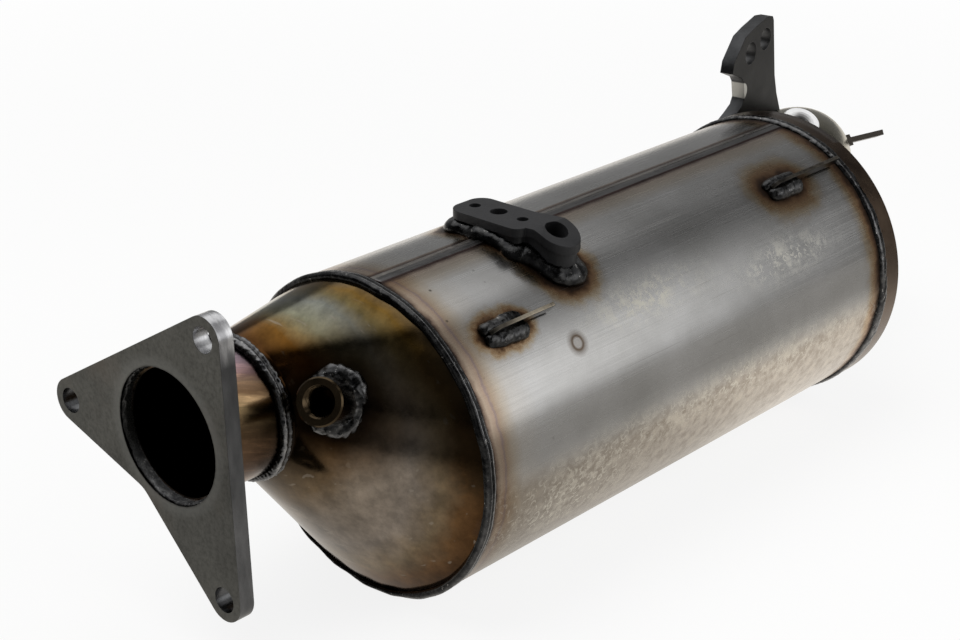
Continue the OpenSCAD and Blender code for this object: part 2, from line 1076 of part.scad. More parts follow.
module hanger_plate()
{
    color([0.2, 0.2, 0.2])
        difference()
        {
            hanger_slab(0);
            outlet_cone_solid(0);
            outlet_run(out_r, 0);
            on_can()
                xbar(skirt_r, rear_x, out_cone_x);
            on_out()
                xbar(out_r + cone_t, out_cone_x, out_x + out_neck);
        }
}

module hanger_weld()
{
    color([0.17, 0.17, 0.17])
        difference()
        {
            intersection()
            {
                hanger_slab(hang_bead);
                outlet_cone_solid(hang_bead);
            }
            hanger_slab(0);
            outlet_cone_solid(0);
            outlet_run(out_r, 0);
            on_can()
                xbar(skirt_r, rear_x, out_cone_x + past);
            on_out()
                xbar(out_r + cone_t, out_cone_x, out_x + out_neck);
        }
}

// Foot of the outlet tab on the outer side of the elbow
module at_outlet_tab()
{
    translate([bend_x + 50.4, out_y - 7.7, out_z + 1.9])
        rotate([-26.4, -5.7, -25.5])
            children();
}

module outlet_tab()
{
    color([0.3, 0.29, 0.27])
        difference()
        {
            at_outlet_tab()
                translate([-tab3_root, -tab3_w / 2, -tab3_t / 2])
                    cube([tab3_len, tab3_w, tab3_t]);
            outlet_run(out_r, 0);
        }
}

module outlet_tab_weld()
{
    color([0.15, 0.15, 0.15])
        difference()
        {
            intersection()
            {
                at_outlet_tab()
                    translate([-boss_deep, -tab3_w / 2 - tab3_bead, -tab3_t / 2 - tab3_bead])
                        cube([tab3_bead_len, tab3_w + 2 * tab3_bead, tab3_t + 2 * tab3_bead]);
                outlet_run(out_r + tab3_bead_h, 0);
            }
            outlet_run(out_r, 0);
            at_outlet_tab()
                translate([-boss_deep - past, -tab3_w / 2, -tab3_t / 2])
                    cube([tab3_bead_len + 2 * past, tab3_w, tab3_t]);
        }
}

inlet_flange();
inlet_pipe();
inlet_flange_weld();
inlet_pipe_weld();
inlet_cone();
front_boss();
front_boss_weld();
canister_shell();
seam_weld();
front_ring_weld();
catalyst_brick();
catalyst_mat();
spacer_ring();
filter_brick();
filter_mat();
retaining_ring();
outlet_cone();
rear_ring_weld();
outlet_pipe();
outlet_pipe_weld();
rear_boss();
rear_boss_weld();
eye_bracket();
eye_bracket_weld();
front_tab();
front_tab_weld();
rear_tab();
rear_tab_weld();
hanger_plate();
hanger_weld();
outlet_tab();
outlet_tab_weld();
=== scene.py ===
"""Looks of a welded exhaust particulate filter: sheet metal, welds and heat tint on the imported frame.

Lengths are millimetres and angles degrees unless a name says otherwise. Meshes are made in metres.
"""

from math import cos, pi, radians, sin

import bmesh
import bpy
import numpy as np
from mathutils import Matrix


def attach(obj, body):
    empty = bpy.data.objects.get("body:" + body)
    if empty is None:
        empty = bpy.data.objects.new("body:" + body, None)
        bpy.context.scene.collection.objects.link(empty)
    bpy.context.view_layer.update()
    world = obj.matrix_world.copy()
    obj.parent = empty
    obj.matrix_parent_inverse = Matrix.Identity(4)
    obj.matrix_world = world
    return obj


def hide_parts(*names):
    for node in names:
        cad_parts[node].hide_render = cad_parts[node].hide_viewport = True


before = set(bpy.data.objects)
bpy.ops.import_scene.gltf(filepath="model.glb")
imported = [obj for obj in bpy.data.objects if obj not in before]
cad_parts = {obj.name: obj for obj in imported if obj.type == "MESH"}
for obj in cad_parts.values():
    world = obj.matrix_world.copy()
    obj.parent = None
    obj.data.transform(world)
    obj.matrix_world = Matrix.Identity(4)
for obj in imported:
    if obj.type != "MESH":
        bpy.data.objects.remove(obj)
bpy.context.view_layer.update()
scene = bpy.context.scene
MM = 0.001
# Corners that are merged, in metres: of a new surface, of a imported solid
MERGE, MERGE_SOLID = 1e-7, 2e-6
# One unit of the sheet's own map, a tint that changes nothing, soot on the gas side
MAP_MM, WHITE, GAS_SOOT = 100.0, (1.0, 1.0, 1.0), (0.016, 0.015, 0.013)

# Canister: radius, axis, front edge, end of the shell, sheet
CAN_R, CAN_Y, CAN_Z = 78.0, -31.2, -22.0
CAN_X, SHELL_END, SHEET = 88.8, 411.8, 1.5
# Spot weld and frosted patches on the shell: x from the front edge, degrees from the top, reaches
SPOT_X, SPOT_DEG = 71.0, 56.5
FROST = ((128, 52, 34, 6), (234, 60, 30, 6), (190, 97, 120, 7), (60, 112, 45, 14))
# Inlet pipe, neck and cone
PIPE_R, PIPE_START, CONE_X, NECK = 31.5, 6.0, 44.5, 5.0
NECK_R, CONE_R, SPIGOT = PIPE_R + SHEET, CAN_R - SHEET, 6.0
# Skirt, outlet cone, straight pipe, elbow, stub
SKIRT_X, SKIRT_R, OUT_CONE_X, OUT_X, BEND_X = 403.8, 79.5, 415.8, 441.8, 466.3
OUT_R, OUT_Y, OUT_Z, OUT_NECK, BEND_R, STUB = 30.5, -1.9, 10.8, 1.5, 35.0, 34.0
BEND_WAY = np.array([0.0, 0.7, -0.714])
# Ring welds: bead radius, depth of its centre below the shell face, distance ahead of the sheet edge
RING_BEAD, FRONT_SINK, REAR_SINK, BEAD_AHEAD = 2.7, 1.7, 0.8, 0.8
# Start of the rear weld's heat ahead of the skirt, place of the weld in the flange
REAR_HEAT, FLANGE_BEAD_X = 4.4, 4.2
# Sensor bosses: radius, hole, thread, chamfers of the mouth and of the outer edge
BOSS_R, BOSS_HOLE, THREAD_PITCH, THREAD_DEPTH = 10.8, 6.2, 1.5, 0.75
BOSS_MOUTH, BOSS_EDGE = 1.1, 0.7
# Front boss: height, root, share along the cone, degrees from the top, lean and turn of its axis
BOSS_H, BOSS_ROOT, BOSS_SHARE, BOSS_DEG, BOSS_LEAN, BOSS_TURN = 20.0, 7.0, 0.24, 65.5, 55.4, 45.0
# Rear boss: height, root, degrees from the top, lean
REAR_BOSS_H, REAR_BOSS_ROOT, REAR_BOSS_DEG, REAR_BOSS_LEAN = 4.2, 6.0, 27.0, 14.0
# Mounting eye bracket: place along the shell; in plan, its foot, the web to its eye, the inset of
# the weld and the middle of the foot
EYE_X, FOOT_HALF, FOOT_FAR, FOOT_NEAR, FOOT_CORNER = 84.0, 10.6, 15.4, -26.4, 5.0
EYE_CENTRE, EYE_FOOT_R, WEB_START = np.array([5.2, -36.5]), 9.4, np.array([2.0, -24.0])
FOOT_INSET, FOOT_MIDDLE = 2.0, np.array([1.0, -13.0])
# Heat shield tabs: length of the foot; start along the shell, degrees from the top
TAB_FOOT, TABS = 27.0, {"front": (23.0, 42.5), "rear": (249.0, 34.5)}
# Seam: middle and half width in degrees, start and end along the shell
SEAM_DEG, SEAM_HALF, SEAM_START, SEAM_END = 4.5, 3.0, 1.6, 310.0
# Hanger plate: foot, turn, thickness; notch and holes along it and over the axis, reach, shade
HANG_X, HANG_Y, HANG_TURN, HANG_T = 450.3, 15.7, 8.0, 8.0
HANG_SPOTS = ((-9.5, 77.5, 5.2, (0.60, 0.60, 0.57)), (-2.0, 98.5, 6.8, (0.2, 0.2, 0.2)),
              (16.0, 103.2, 6.8, (0.2, 0.2, 0.2)))
# Length of the rays that find the bracket's foot, and top of those that find the outlet cone
RAY_LENGTH, RAY_TOP = 60.0, 80.0
# Floor under the lowest weld: level, half its side; radius of the tent
FLOOR_Z, FLOOR_HALF, TENT_R = -102.0, 3000.0, 5000.0


# Surfaces


def waves(seed, low, high, count, *axes):
    """Smooth noise: the sum of sine waves with fixed random directions and phases, whose wave
    numbers lie between low and high per mm, scaled to about -1 to 1."""
    g = np.random.default_rng(seed)
    total = 0.0
    for _ in range(count):
        d = g.normal(size=len(axes))
        d *= g.uniform(low, high) / np.linalg.norm(d)
        total = total + np.sin(sum(k * a for k, a in zip(d, axes)) + g.uniform(0, 2 * pi))
    return total / np.sqrt(2.0 * count) * 1.1


def unit(v):
    """Vectors divided by their own length."""
    return v / np.linalg.norm(v, axis=-1, keepdims=True)


def step(value, low, high):
    """A smooth step from 0 at low to 1 at high: 3t^2 - 2t^3 of the share t between them."""
    t = np.clip((value - low) / (high - low), 0, 1)
    return t * t * (3 - 2 * t)


def skin(name, points, around, along, uv=None, **fields):
    """A mesh over a grid of points: neighbours are joined by quads, around closes the second
    direction and along the first. The quads are turned so that the enclosed volume, the sum of
    quad centre times quad area, is positive. fields are numbers per point, kept as attributes."""
    n, m = points.shape[:2]
    i = np.arange(n if along else n - 1)[:, None]
    j = np.arange(m if around else m - 1)[None, :]
    i2, j2 = (i + 1) % n, (j + 1) % m
    quads = np.broadcast_arrays(i * m + j, i * m + j2, i2 * m + j2, i2 * m + j)
    quads = np.stack(quads, -1).reshape(-1, 4)
    flat = points.reshape(-1, 3) * MM
    a, b, c, d = (flat[quads[:, k]] for k in range(4))
    order = -1 if np.sum(np.cross(c - a, d - b) * (a + b + c + d)) < 0 else 1
    mesh = bpy.data.meshes.new(name)
    mesh.from_pydata(flat.tolist(), [], quads[:, ::order].tolist())
    for key, values in fields.items():
        values = np.broadcast_to(values, (n, m)).astype(np.float32).ravel()
        mesh.attributes.new(key, "FLOAT", "POINT").data.foreach_set("value", values)
    if uv is not None:
        corners = [np.stack(np.broadcast_arrays(uv[0][i + di], uv[1][j + dj]), -1)
                   for di, dj in ((0, 0), (0, 1), (1, 1), (1, 0))]
        corners = np.stack(corners, 2).reshape(-1, 4, 2)[:, ::order]
        mesh.uv_layers.new(name="sheet").data.foreach_set("uv", corners.astype(np.float32).ravel())
    return mesh


def surface(name, points, around=True, along=True, crease=50, **more):
    """A piece of the object over a closed grid of points, smooth except at edges over the crease."""
    mesh = skin(name, points, around, along, **more)
    bm = bmesh.new()
    bm.from_mesh(mesh)
    bmesh.ops.remove_doubles(bm, verts=bm.verts, dist=MERGE)
    bm.to_mesh(mesh)
    bm.free()
    mesh.shade_smooth()
    mesh.set_sharp_from_angle(angle=radians(crease))
    piece = bpy.data.objects.new(name, mesh)
    scene.collection.objects.link(piece)
    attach(piece, "root")
    return piece


def circles(x, y, z, r, m=240):
    """Rows of circles square to X: point = (x, y - r sin a, z + r cos a), a from the top to -Y."""
    x, y, z, r = (np.asarray(q, float)[:, None] for q in np.broadcast_arrays(x, y, z, r))
    a = np.linspace(0, 2 * pi, m, endpoint=False)[None, :]
    return np.stack(np.broadcast_arrays(x, y - r * np.sin(a), z + r * np.cos(a)), -1)


def there_and_back(rows, sheet):
    """Rows of a sheet: the outer rows, then the same rows backwards with the radius less the sheet."""
    x, y, z, r = np.broadcast_arrays(*rows)
    return [np.concatenate([q, q[::-1]]) for q in (x, y, z)] + [np.concatenate([r, r[::-1] - sheet])]


def angles(m):
    """Degrees from the top of m even points round a circle, from -180 to 180."""
    return (np.linspace(0, 360, m, endpoint=False)[None, :] + 180) % 360 - 180


def bead(name, path, lift, width, height, seed, ring=True, ripple=0.1, pitch=2.6, lump=0.16,
         groove=0.0, sink=0.6, grain=0.05, turns=28, fat=1.0, wander=0.0):
    """A weld bead: a round section carried along a path. Section point = path + w cos(a) side +
    h sin(a) lift, the lower half sunk less. w and h swell with slow noise, and curved ripples follow
    the sine of the run less a bow over the section; a groove lowers the crown. The path wanders to
    either side with slow noise, and open paths close to a point at both ends. across is cos(a)."""
    ahead = unit(np.roll(path, -1, 0) - np.roll(path, 1, 0) if ring else np.gradient(path, axis=0))
    side = unit(np.cross(ahead, lift))
    lift = np.cross(side, ahead)
    run = np.concatenate([[0], np.cumsum(np.linalg.norm(np.diff(path, axis=0), axis=1))])
    whole = run[-1] + (np.linalg.norm(path[0] - path[-1]) if ring else 0)
    pitch = whole / round(whole / pitch)
    a = np.linspace(0, 2 * pi, turns, endpoint=False)[None, :]
    c, d = np.cos(a), np.sin(a)
    x, y, z = (path[:, k, None] for k in range(3))
    path = path + side * wander * waves(seed + 2, 0.08, 0.4, 9, x, y, z)
    swell = fat + lump * waves(seed, 0.12, 0.5, 9, x + 3 * c, y + 3 * d, z - 3 * c)
    swell = swell + grain * waves(seed + 1, 0.9, 2.4, 12, x + 4 * c, y + 4 * d, z + 4 * c * d)
    bow = run[:, None] + pitch * 0.9 * c ** 2
    swell = swell + ripple * (np.abs(np.sin(pi * bow / pitch)) - 0.6) * (d > -0.2)
    if not ring:
        t = np.linspace(-1, 1, len(path))[:, None]
        swell = swell * np.sqrt(np.clip(1 - t ** 6, 0, 1))
    up = np.where(d > 0, d * (1 - groove * np.exp(-((c / 0.3) ** 2))), d * sink)
    points = (path[:, None] + side[:, None] * (width * swell * c)[..., None]
              + lift[:, None] * (height * swell * up)[..., None])
    return surface(name, points, along=ring, crease=80, across=c)


def circle_path(x, r, y, z, n):
    """Points of a circle square to X, and the unit vectors that point away from its axis."""
    a = np.linspace(0, 2 * pi, n, endpoint=False)
    out = np.stack([0 * a, -np.sin(a), np.cos(a)], -1)
    return np.array([x, y, z]) + r * out, out


def on_shell(x, deg, r=CAN_R):
    """Points on the canister: x from the front edge, degrees from the top towards -Y, radius r."""
    x, a, r = np.broadcast_arrays(x, np.radians(deg), r)
    return np.stack([CAN_X + x, CAN_Y - r * np.sin(a), CAN_Z + r * np.cos(a)], -1)


def touch(start, way, gap, reach):
    """Where rays meet a face: start + s way, with s halved 40 times between 0 and reach so that the
    gap to the face changes sign."""
    low, high = np.zeros(len(start)), np.full(len(start), float(reach))
    for _ in range(40):
        mid = (low + high) / 2
        inside = gap(start + mid[:, None] * way) < 0
        low, high = np.where(inside, low, mid), np.where(inside, mid, high)
    return start + low[:, None] * way


def cone_gap(p):
    """Distance outside the inlet cone: the way to its axis at that X less its radius there, where
    centre and radius run evenly from the neck to the canister."""
    t = np.clip((p[:, 0] - CONE_X) / (CAN_X - CONE_X), 0, 1)
    return np.hypot(p[:, 1] - CAN_Y * t, p[:, 2] - CAN_Z * t) - NECK_R - (CONE_R - NECK_R) * t


def rear_gap(p):
    """The same for the outlet cone, which ends in the straight pipe."""
    t = np.clip((p[:, 0] - OUT_CONE_X) / (OUT_X - OUT_CONE_X), 0, 1)
    y, z = CAN_Y + (OUT_Y - CAN_Y) * t, CAN_Z + (OUT_Z - CAN_Z) * t
    r = SKIRT_R + (OUT_R + SHEET - SKIRT_R) * t - SHEET * (p[:, 0] > OUT_X + OUT_NECK)
    return np.hypot(p[:, 1] - y, p[:, 2] - z) - r


def chamfered(node, width, segments=2, limit=34):
    """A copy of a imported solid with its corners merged, its flat faces joined and its sharp edges
    rounded by a bevel. It stands for the solid."""
    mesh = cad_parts[node].data.copy()
    mesh.name = node + "_dressed"
    bm = bmesh.new()
    bm.from_mesh(mesh)
    bmesh.ops.remove_doubles(bm, verts=bm.verts, dist=MERGE_SOLID)
    bmesh.ops.dissolve_limit(bm, angle_limit=radians(0.5), verts=bm.verts, edges=bm.edges)
    bm.to_mesh(mesh)
    bm.free()
    mesh.shade_smooth()
    piece = bpy.data.objects.new(node + "_dressed", mesh)
    scene.collection.objects.link(piece)
    edge = piece.modifiers.new("rounded edges", "BEVEL")
    edge.width, edge.segments, edge.limit_method = width * MM, segments, "ANGLE"
    edge.angle_limit = radians(limit)
    flat = piece.modifiers.new("flat faces", "WEIGHTED_NORMAL")
    flat.mode, flat.weight = "FACE_AREA", 100
    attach(piece, "root")
    return piece


# Camera, at the photograph's viewing angle


def stand_at(place, right, up, back):
    """The matrix of a camera or lamp: its columns are right, up, back and the place."""
    return Matrix([[right[k], up[k], back[k], place[k]] for k in range(3)] + [[0, 0, 0, 1]])


lens = bpy.data.cameras.new("camera")
lens.lens, lens.sensor_width, lens.sensor_fit = 73.3, 36.0, "HORIZONTAL"
lens.clip_start, lens.clip_end = 0.01, 30
camera = bpy.data.objects.new("camera", lens)
right, up, ahead = (0.67396, -0.73876, 0), (0.28842, 0.26311, 0.92064), (0.68014, 0.62048, -0.39040)
stand = (-0.4663, -0.6078, 0.3745)
camera.matrix_world = stand_at(stand, right, up, [-part for part in ahead])
scene.collection.objects.link(camera)
scene.camera = camera
scene.view_settings.view_transform = "Standard"


# Node trees


class Net:
    """Writes a node tree: each call adds one node, sets its values and links its sockets."""

    def __init__(self, tree):
        """Keeps the tree that is written."""
        self.tree = tree

    def add(self, kind, values=None, **settings):
        """A node of a kind, with settings and with input values or links."""
        node = self.tree.nodes.new("ShaderNode" + kind)
        for key, value in settings.items():
            setattr(node, key, value)
        self.fill(node, values or {})
        return node

    def fill(self, node, values):
        """Sets or links the named inputs of a node."""
        for key, value in values.items():
            if isinstance(value, bpy.types.NodeSocket):
                self.tree.links.new(value, node.inputs[key])
            else:
                node.inputs[key].default_value = value

    def math(self, operation, a, b=0.0, c=0.0):
        """One sum of up to three numbers."""
        return self.add("Math", {0: a, 1: b, 2: c}, operation=operation).outputs[0]

    def times(self, a, b):
        """The product of two numbers."""
        return self.math("MULTIPLY", a, b)

    def moved(self, value, other, share):
        """A value plus a share of another one."""
        return self.math("MULTIPLY_ADD", other, share, value)

    def vector(self, operation, a, b=(0, 0, 0)):
        """One sum of two vectors, which gives a number or a vector."""
        node = self.add("VectorMath", {0: a, 1: b}, operation=operation)
        number = operation in ("LENGTH", "DISTANCE", "DOT_PRODUCT")
        return node.outputs["Value" if number else "Vector"]

    def parts(self, vector):
        """The X, Y and Z of a vector."""
        return self.add("SeparateXYZ", {0: vector}).outputs

    def normal(self):
        """The way that the surface faces."""
        return self.add("NewGeometry").outputs["Normal"]

    def ramp(self, value, stops):
        """A colour or grey level for a value from 0 to 1, through the given stops."""
        node = self.add("ValToRGB", {0: value})
        spots = node.color_ramp.elements
        while len(spots) < len(stops):
            spots.new(1.0)
        for spot, (place, shade) in zip(spots, stops):
            spot.position = place
            spot.color = (*shade, 1) if isinstance(shade, tuple) else (shade, shade, shade, 1)
        return node.outputs[0]

    def scale(self, value, reach, stops):
        """A ramp whose stops are given in mm, from 0 to reach."""
        share = self.math("DIVIDE", value, reach)
        return self.ramp(share, [(place / reach, shade) for place, shade in stops])

    def mix(self, factor, a, b, how="MIX"):
        """Colour b over colour a."""
        a, b = ((*q, 1) if isinstance(q, tuple) else q for q in (a, b))
        return self.add("Mix", {0: factor, 6: a, 7: b}, data_type="RGBA", blend_type=how).outputs[2]

    def tint(self, base, shade):
        """A colour multiplied by a colour or grey level."""
        return self.mix(1.0, base, shade, "MULTIPLY")

    def span(self, value, low, high, to_low=0.0, to_high=1.0, soft=False):
        """A value between low and high carried to another span, with soft ends if asked."""
        node = self.add("MapRange", {0: value, 1: low, 2: high, 3: to_low, 4: to_high})
        node.interpolation_type = "SMOOTHSTEP" if soft else "LINEAR"
        return node.outputs[0]

    def place(self, stretch=(1, 1, 1), source="Object"):
        """Texture coordinates, stretched."""
        spot = self.add("TexCoord").outputs[source]
        return self.add("Mapping", {0: spot, 3: stretch}).outputs[0]

    def noise(self, where, scale, detail=3.0, rough=0.6):
        """Cloudy noise from 0 to 1, about 0.5."""
        values = {"Vector": where, "Scale": scale, "Detail": detail, "Roughness": rough}
        return self.add("TexNoise", values).outputs[0]

    def shake(self, *how):
        """The same noise about 0."""
        return self.math("SUBTRACT", self.noise(*how), 0.5)

    def field(self, name):
        """A number that the mesh carries."""
        return self.add("Attribute", attribute_name=name).outputs["Fac"]

    def use(self, tree, values):
        """A node group placed with its own values."""
        node = self.add("Group", node_tree=tree)
        self.fill(node, values)
        return node.outputs


def group(name, ins, outs):
    """An empty node group with the named inputs and outputs: its tree, its writer, its inputs and a
    function that links an output."""
    tree = bpy.data.node_groups.new(name, "ShaderNodeTree")
    for key, kind in ins:
        tree.interface.new_socket(key, in_out="INPUT", socket_type="NodeSocket" + kind)
    for key, kind in outs:
        tree.interface.new_socket(key, in_out="OUTPUT", socket_type="NodeSocket" + kind)
    start, end = tree.nodes.new("NodeGroupInput"), tree.nodes.new("NodeGroupOutput")

    def link(key, source):
        """Joins a source to the output of that name."""
        tree.links.new(source, end.inputs[key])

    return tree, Net(tree), start.outputs, link


def metal(name):
    """A new material: its writer and a function that sets or links the sockets of its Principled
    shader, which starts as bare metal."""
    finish = bpy.data.materials.new(name)
    finish.use_nodes = True
    net = Net(finish.node_tree)
    shader = finish.node_tree.nodes["Principled BSDF"]
    shader.inputs["Metallic"].default_value = 1.0

    def feed(height=None, strength=0.3, depth=0.0002, **sockets):
        """Sets or links sockets by name, and bumps the normal by a height, with its depth in metres."""
        net.fill(shader, {key.replace("_", " "): value for key, value in sockets.items()})
        if height is not None:
            relief = net.add("Bump", {"Strength": strength, "Distance": depth, "Height": height})
            net.fill(shader, {"Normal": relief.outputs[0]})

    return finish, net, feed


# Heat of a weld on bare sheet: distance from the weld in mm gives a tint and a soot mask
heat_tree, net, given, out = group(
    "weld_heat", [("Distance", "Float"), ("Reach", "Float"), ("Vector", "Vector")],
    [("Tint", "Color"), ("Soot", "Float")])
shaken = net.moved(given["Distance"], net.shake(given["Vector"], 100, 5, 0.65), 11.0)
far = net.math("DIVIDE", shaken, given["Reach"])
out("Tint", net.ramp(far, [
    (0.0, (0.08, 0.05, 0.035)), (0.10, (0.15, 0.085, 0.05)), (0.24, (0.38, 0.23, 0.13)),
    (0.40, (0.66, 0.46, 0.28)), (0.58, (0.84, 0.72, 0.56)), (0.78, (0.90, 0.87, 0.84)), (1.0, WHITE)]))
out("Soot", net.ramp(far, [(0.0, 1.0), (0.16, 0.6), (0.4, 0.0)]))

# Fine rolling lines and scratches along the sheet, from the sheet's own map
lines_tree, net, given, out = group("rolling_lines", [("Vector", "Vector")],
                                    [("Lines", "Float"), ("Scratch", "Float")])
fine = net.add("Mapping", {0: given["Vector"], 3: (0.5, 60.0, 1.0)}).outputs[0]
thin = net.add("Mapping", {0: given["Vector"], 2: (0, 0, 0.02), 3: (0.22, 30.0, 1.0)}).outputs[0]
out("Lines", net.noise(fine, 3.0, 4))
out("Scratch", net.ramp(net.noise(thin, 5.0, 2, 0.5), [(0.27, 1.0), (0.31, 0.0)]))

# Small dark spatter specks
speck_tree, net, given, out = group(
    "spatter", [("Vector", "Vector"), ("Scale", "Float")], [("Specks", "Float")])
cell = net.add("TexVoronoi", {key: given[key] for key in ("Vector", "Scale")}).outputs
gate = net.math("GREATER_THAN", net.add("SeparateColor", {0: cell["Color"]}).outputs[0], 0.78)
out("Specks", net.times(gate, net.ramp(cell["Distance"], [(0.08, 1.0), (0.17, 0.0)])))


# Finishes


def shell_finish():
    """Rolled stainless: a cloudy base, a dappled tan tint low on the sheet that grows darker towards the
    front, tints beside the welds, a spot weld's ring, spatter, scratches and frosted patches."""
    finish, net, feed = metal("rolled_stainless")
    where, sheet = net.place(), net.place(source="UV")
    spread = net.parts(sheet)
    along, around = (net.times(spread[k], MAP_MM) for k in "XY")
    shake = net.shake(where, 90, 6, 0.7)
    cloud = net.noise(where, 22, 5)
    base = net.ramp(cloud, [(0.3, (0.415, 0.41, 0.397)), (0.7, (0.535, 0.53, 0.522))])
    # A dappled tan tint low on the sheet, darker still near the front edge
    lower_tan = net.times(net.span(around, 118, 136, soft=True), net.span(around, 330, 300, soft=True))
    tinted = net.times(lower_tan, 0.8)
    base = net.mix(tinted, base, (0.44, 0.385, 0.32))
    dapple = net.ramp(net.noise(where, 190, 4, 0.62), [
        (0.36, (0.70, 0.66, 0.62)), (0.52, WHITE), (0.64, (1.18, 1.17, 1.14))])
    base = net.mix(tinted, base, net.tint(base, dapple))
    duller = net.span(along, 10, 130, 0.65, 0.0)
    base = net.mix(net.times(lower_tan, duller), base, (0.17, 0.15, 0.125))
    # Copper band and purple line beside the front weld
    base = net.tint(base, net.scale(net.moved(along, shake, 5.0), 34.0, [
        (1.6, (0.10, 0.07, 0.06)), (2.6, (0.42, 0.31, 0.24)), (4.6, (0.80, 0.64, 0.50)),
        (7.2, (0.74, 0.56, 0.44)), (8.2, (0.54, 0.42, 0.40)), (9.6, (0.70, 0.54, 0.40)),
        (14.0, (0.86, 0.76, 0.64)), (20.0, (0.97, 0.94, 0.90)), (34.0, WHITE)]))
    # Brown edges of the seam
    beside = net.math("ABSOLUTE", net.math("SUBTRACT", around, radians(SEAM_DEG) * CAN_R))
    base = net.tint(base, net.scale(net.moved(beside, shake, 3.0), 18.0, [
        (3.8, (0.16, 0.11, 0.10)), (4.8, (0.34, 0.25, 0.21)), (6.4, (0.78, 0.66, 0.56)),
        (11.0, (0.88, 0.80, 0.70)), (18.0, WHITE)]))
    # Heat round the other welds
    soot_and_shade = 0.0
    for key, reach in (("rear_mm", 15.0), ("eye_mm", 12.0), ("front_mm", 8.0), ("tab_mm", 18.0)):
        hot = net.use(heat_tree, {"Distance": net.field(key), "Reach": reach, "Vector": where})
        base = net.tint(base, hot["Tint"])
        soot_and_shade = net.math("MAXIMUM", hot["Soot"], soot_and_shade)
    # A spot weld's ring
    middle = (-SPOT_X / MAP_MM, -radians(SPOT_DEG) * CAN_R / MAP_MM, 0)
    spot = net.add("Mapping", {0: sheet, 1: middle}).outputs[0]
    ring = net.scale(net.vector("LENGTH", spot), 0.08, [
        (0.0, 0.35), (0.022, 0.4), (0.033, 1.0), (0.045, 0.55), (0.07, 0.0)])
    base = net.mix(ring, base, (0.09, 0.062, 0.04))
    specks = net.use(speck_tree, {"Vector": where, "Scale": 170.0})["Specks"]
    base = net.mix(net.times(specks, net.field("speck_zone")), base, (0.03, 0.025, 0.02))
    rolled = net.use(lines_tree, {"Vector": sheet})
    base = net.mix(net.times(rolled["Scratch"], 0.4), base, (0.16, 0.145, 0.13))
    # Frost: mottled patches, fainter low on the sheet, and small pale curls
    patch = net.ramp(net.noise(where, 46, 3, 0.5), [(0.42, 0.0), (0.56, 1.0)])
    mottle = net.ramp(net.noise(where, 190, 6, 0.75), [(0.46, 0.0), (0.58, 1.0)])
    cell = net.add("TexVoronoi", {"Vector": where, "Scale": 260.0}).outputs["Distance"]
    curl = net.times(net.ramp(cell, [(0.30, 0.0), (0.44, 1.0), (0.58, 0.0)]),
                     net.ramp(net.noise(where, 300, 2, 0.5), [(0.45, 0.0), (0.56, 0.8)]))
    above = net.span(around, 112, 124, 1.0, 0.35)
    spots = net.math("MAXIMUM", net.times(net.times(patch, mottle), above), curl)
    frost = net.times(net.field("frost"), spots)
    base = net.mix(net.times(frost, 0.92), base, (0.84, 0.81, 0.71))
    rough = net.moved(net.span(rolled["Lines"], 0.3, 0.7, 0.19, 0.29), soot_and_shade, 0.25)
    feed(rolled["Lines"], 0.035, 0.00008, Base_Color=base, Roughness=net.moved(rough, frost, 0.2))
    return finish


def cone_finish():
    """Heat-blued cone: olive grey with blotches, orange at both welds, burnt round the sensor boss, and
    painted shade on its flanks near the canister.
    """
    finish, net, feed = metal("heat_tinted_cone")
    where = net.place()
    shake = net.shake(where, 60, 4)
    along = net.moved(net.field("share"), shake, 0.18)
    upper = net.ramp(along, [
        (0.0, (0.10, 0.045, 0.015)), (0.20, (0.20, 0.095, 0.02)), (0.31, (0.24, 0.18, 0.085)),
        (0.42, (0.23, 0.225, 0.155)), (0.60, (0.195, 0.20, 0.175)), (0.73, (0.175, 0.135, 0.06)),
        (0.85, (0.19, 0.11, 0.026)), (0.95, (0.16, 0.11, 0.055)), (1.0, (0.08, 0.06, 0.045))])
    lower = net.ramp(along, [
        (0.0, (0.05, 0.035, 0.02)), (0.20, (0.15, 0.105, 0.06)), (0.36, (0.24, 0.20, 0.16)),
        (0.60, (0.225, 0.192, 0.162)), (0.76, (0.18, 0.135, 0.085)), (0.88, (0.13, 0.07, 0.03)),
        (0.96, (0.09, 0.045, 0.018)), (1.0, (0.05, 0.03, 0.02))])
    turn = net.moved(net.field("degrees"), shake, 40.0)
    base = net.mix(net.span(turn, 30, 80, soft=True), upper, lower)
    base = net.tint(base, net.ramp(net.noise(where, 28, 5), [(0.34, 0.62), (0.62, 1.12)]))
    fine = net.ramp(net.noise(where, 140, 6, 0.7), [(0.36, 0.78), (0.64, 1.2)])
    base = net.tint(base, fine)
    rub = net.ramp(net.noise(net.place((1, 0.12, 0.5)), 420, 2, 0.5), [(0.29, 0.35), (0.32, 0.0)])
    base = net.mix(rub, base, (0.30, 0.27, 0.23))
    base = net.tint(base, net.scale(net.moved(net.field("boss_mm"), shake, 8.0), 34.0, [
        (3.0, (0.06, 0.045, 0.035)), (9.0, (0.22, 0.17, 0.13)), (17.0, (0.62, 0.54, 0.46)),
        (30.0, WHITE)]))
    # Painted shade: the flanks, 40 to 95 degrees from the top, go near black over the last part of the
    # cone
    side = net.times(net.span(turn, 34, 48, soft=True), net.span(turn, 104, 84, soft=True))
    painted_shade = net.times(side, net.span(along, 0.62, 0.86, 0.0, 0.75))
    base = net.mix(painted_shade, base, (0.012, 0.010, 0.006))
    base = net.mix(net.field("inner"), base, GAS_SOOT)
    feed(net.noise(where, 300), 0.12, Base_Color=base, Roughness=net.span(fine, 0.8, 1.2, 0.11, 0.19))
    return finish


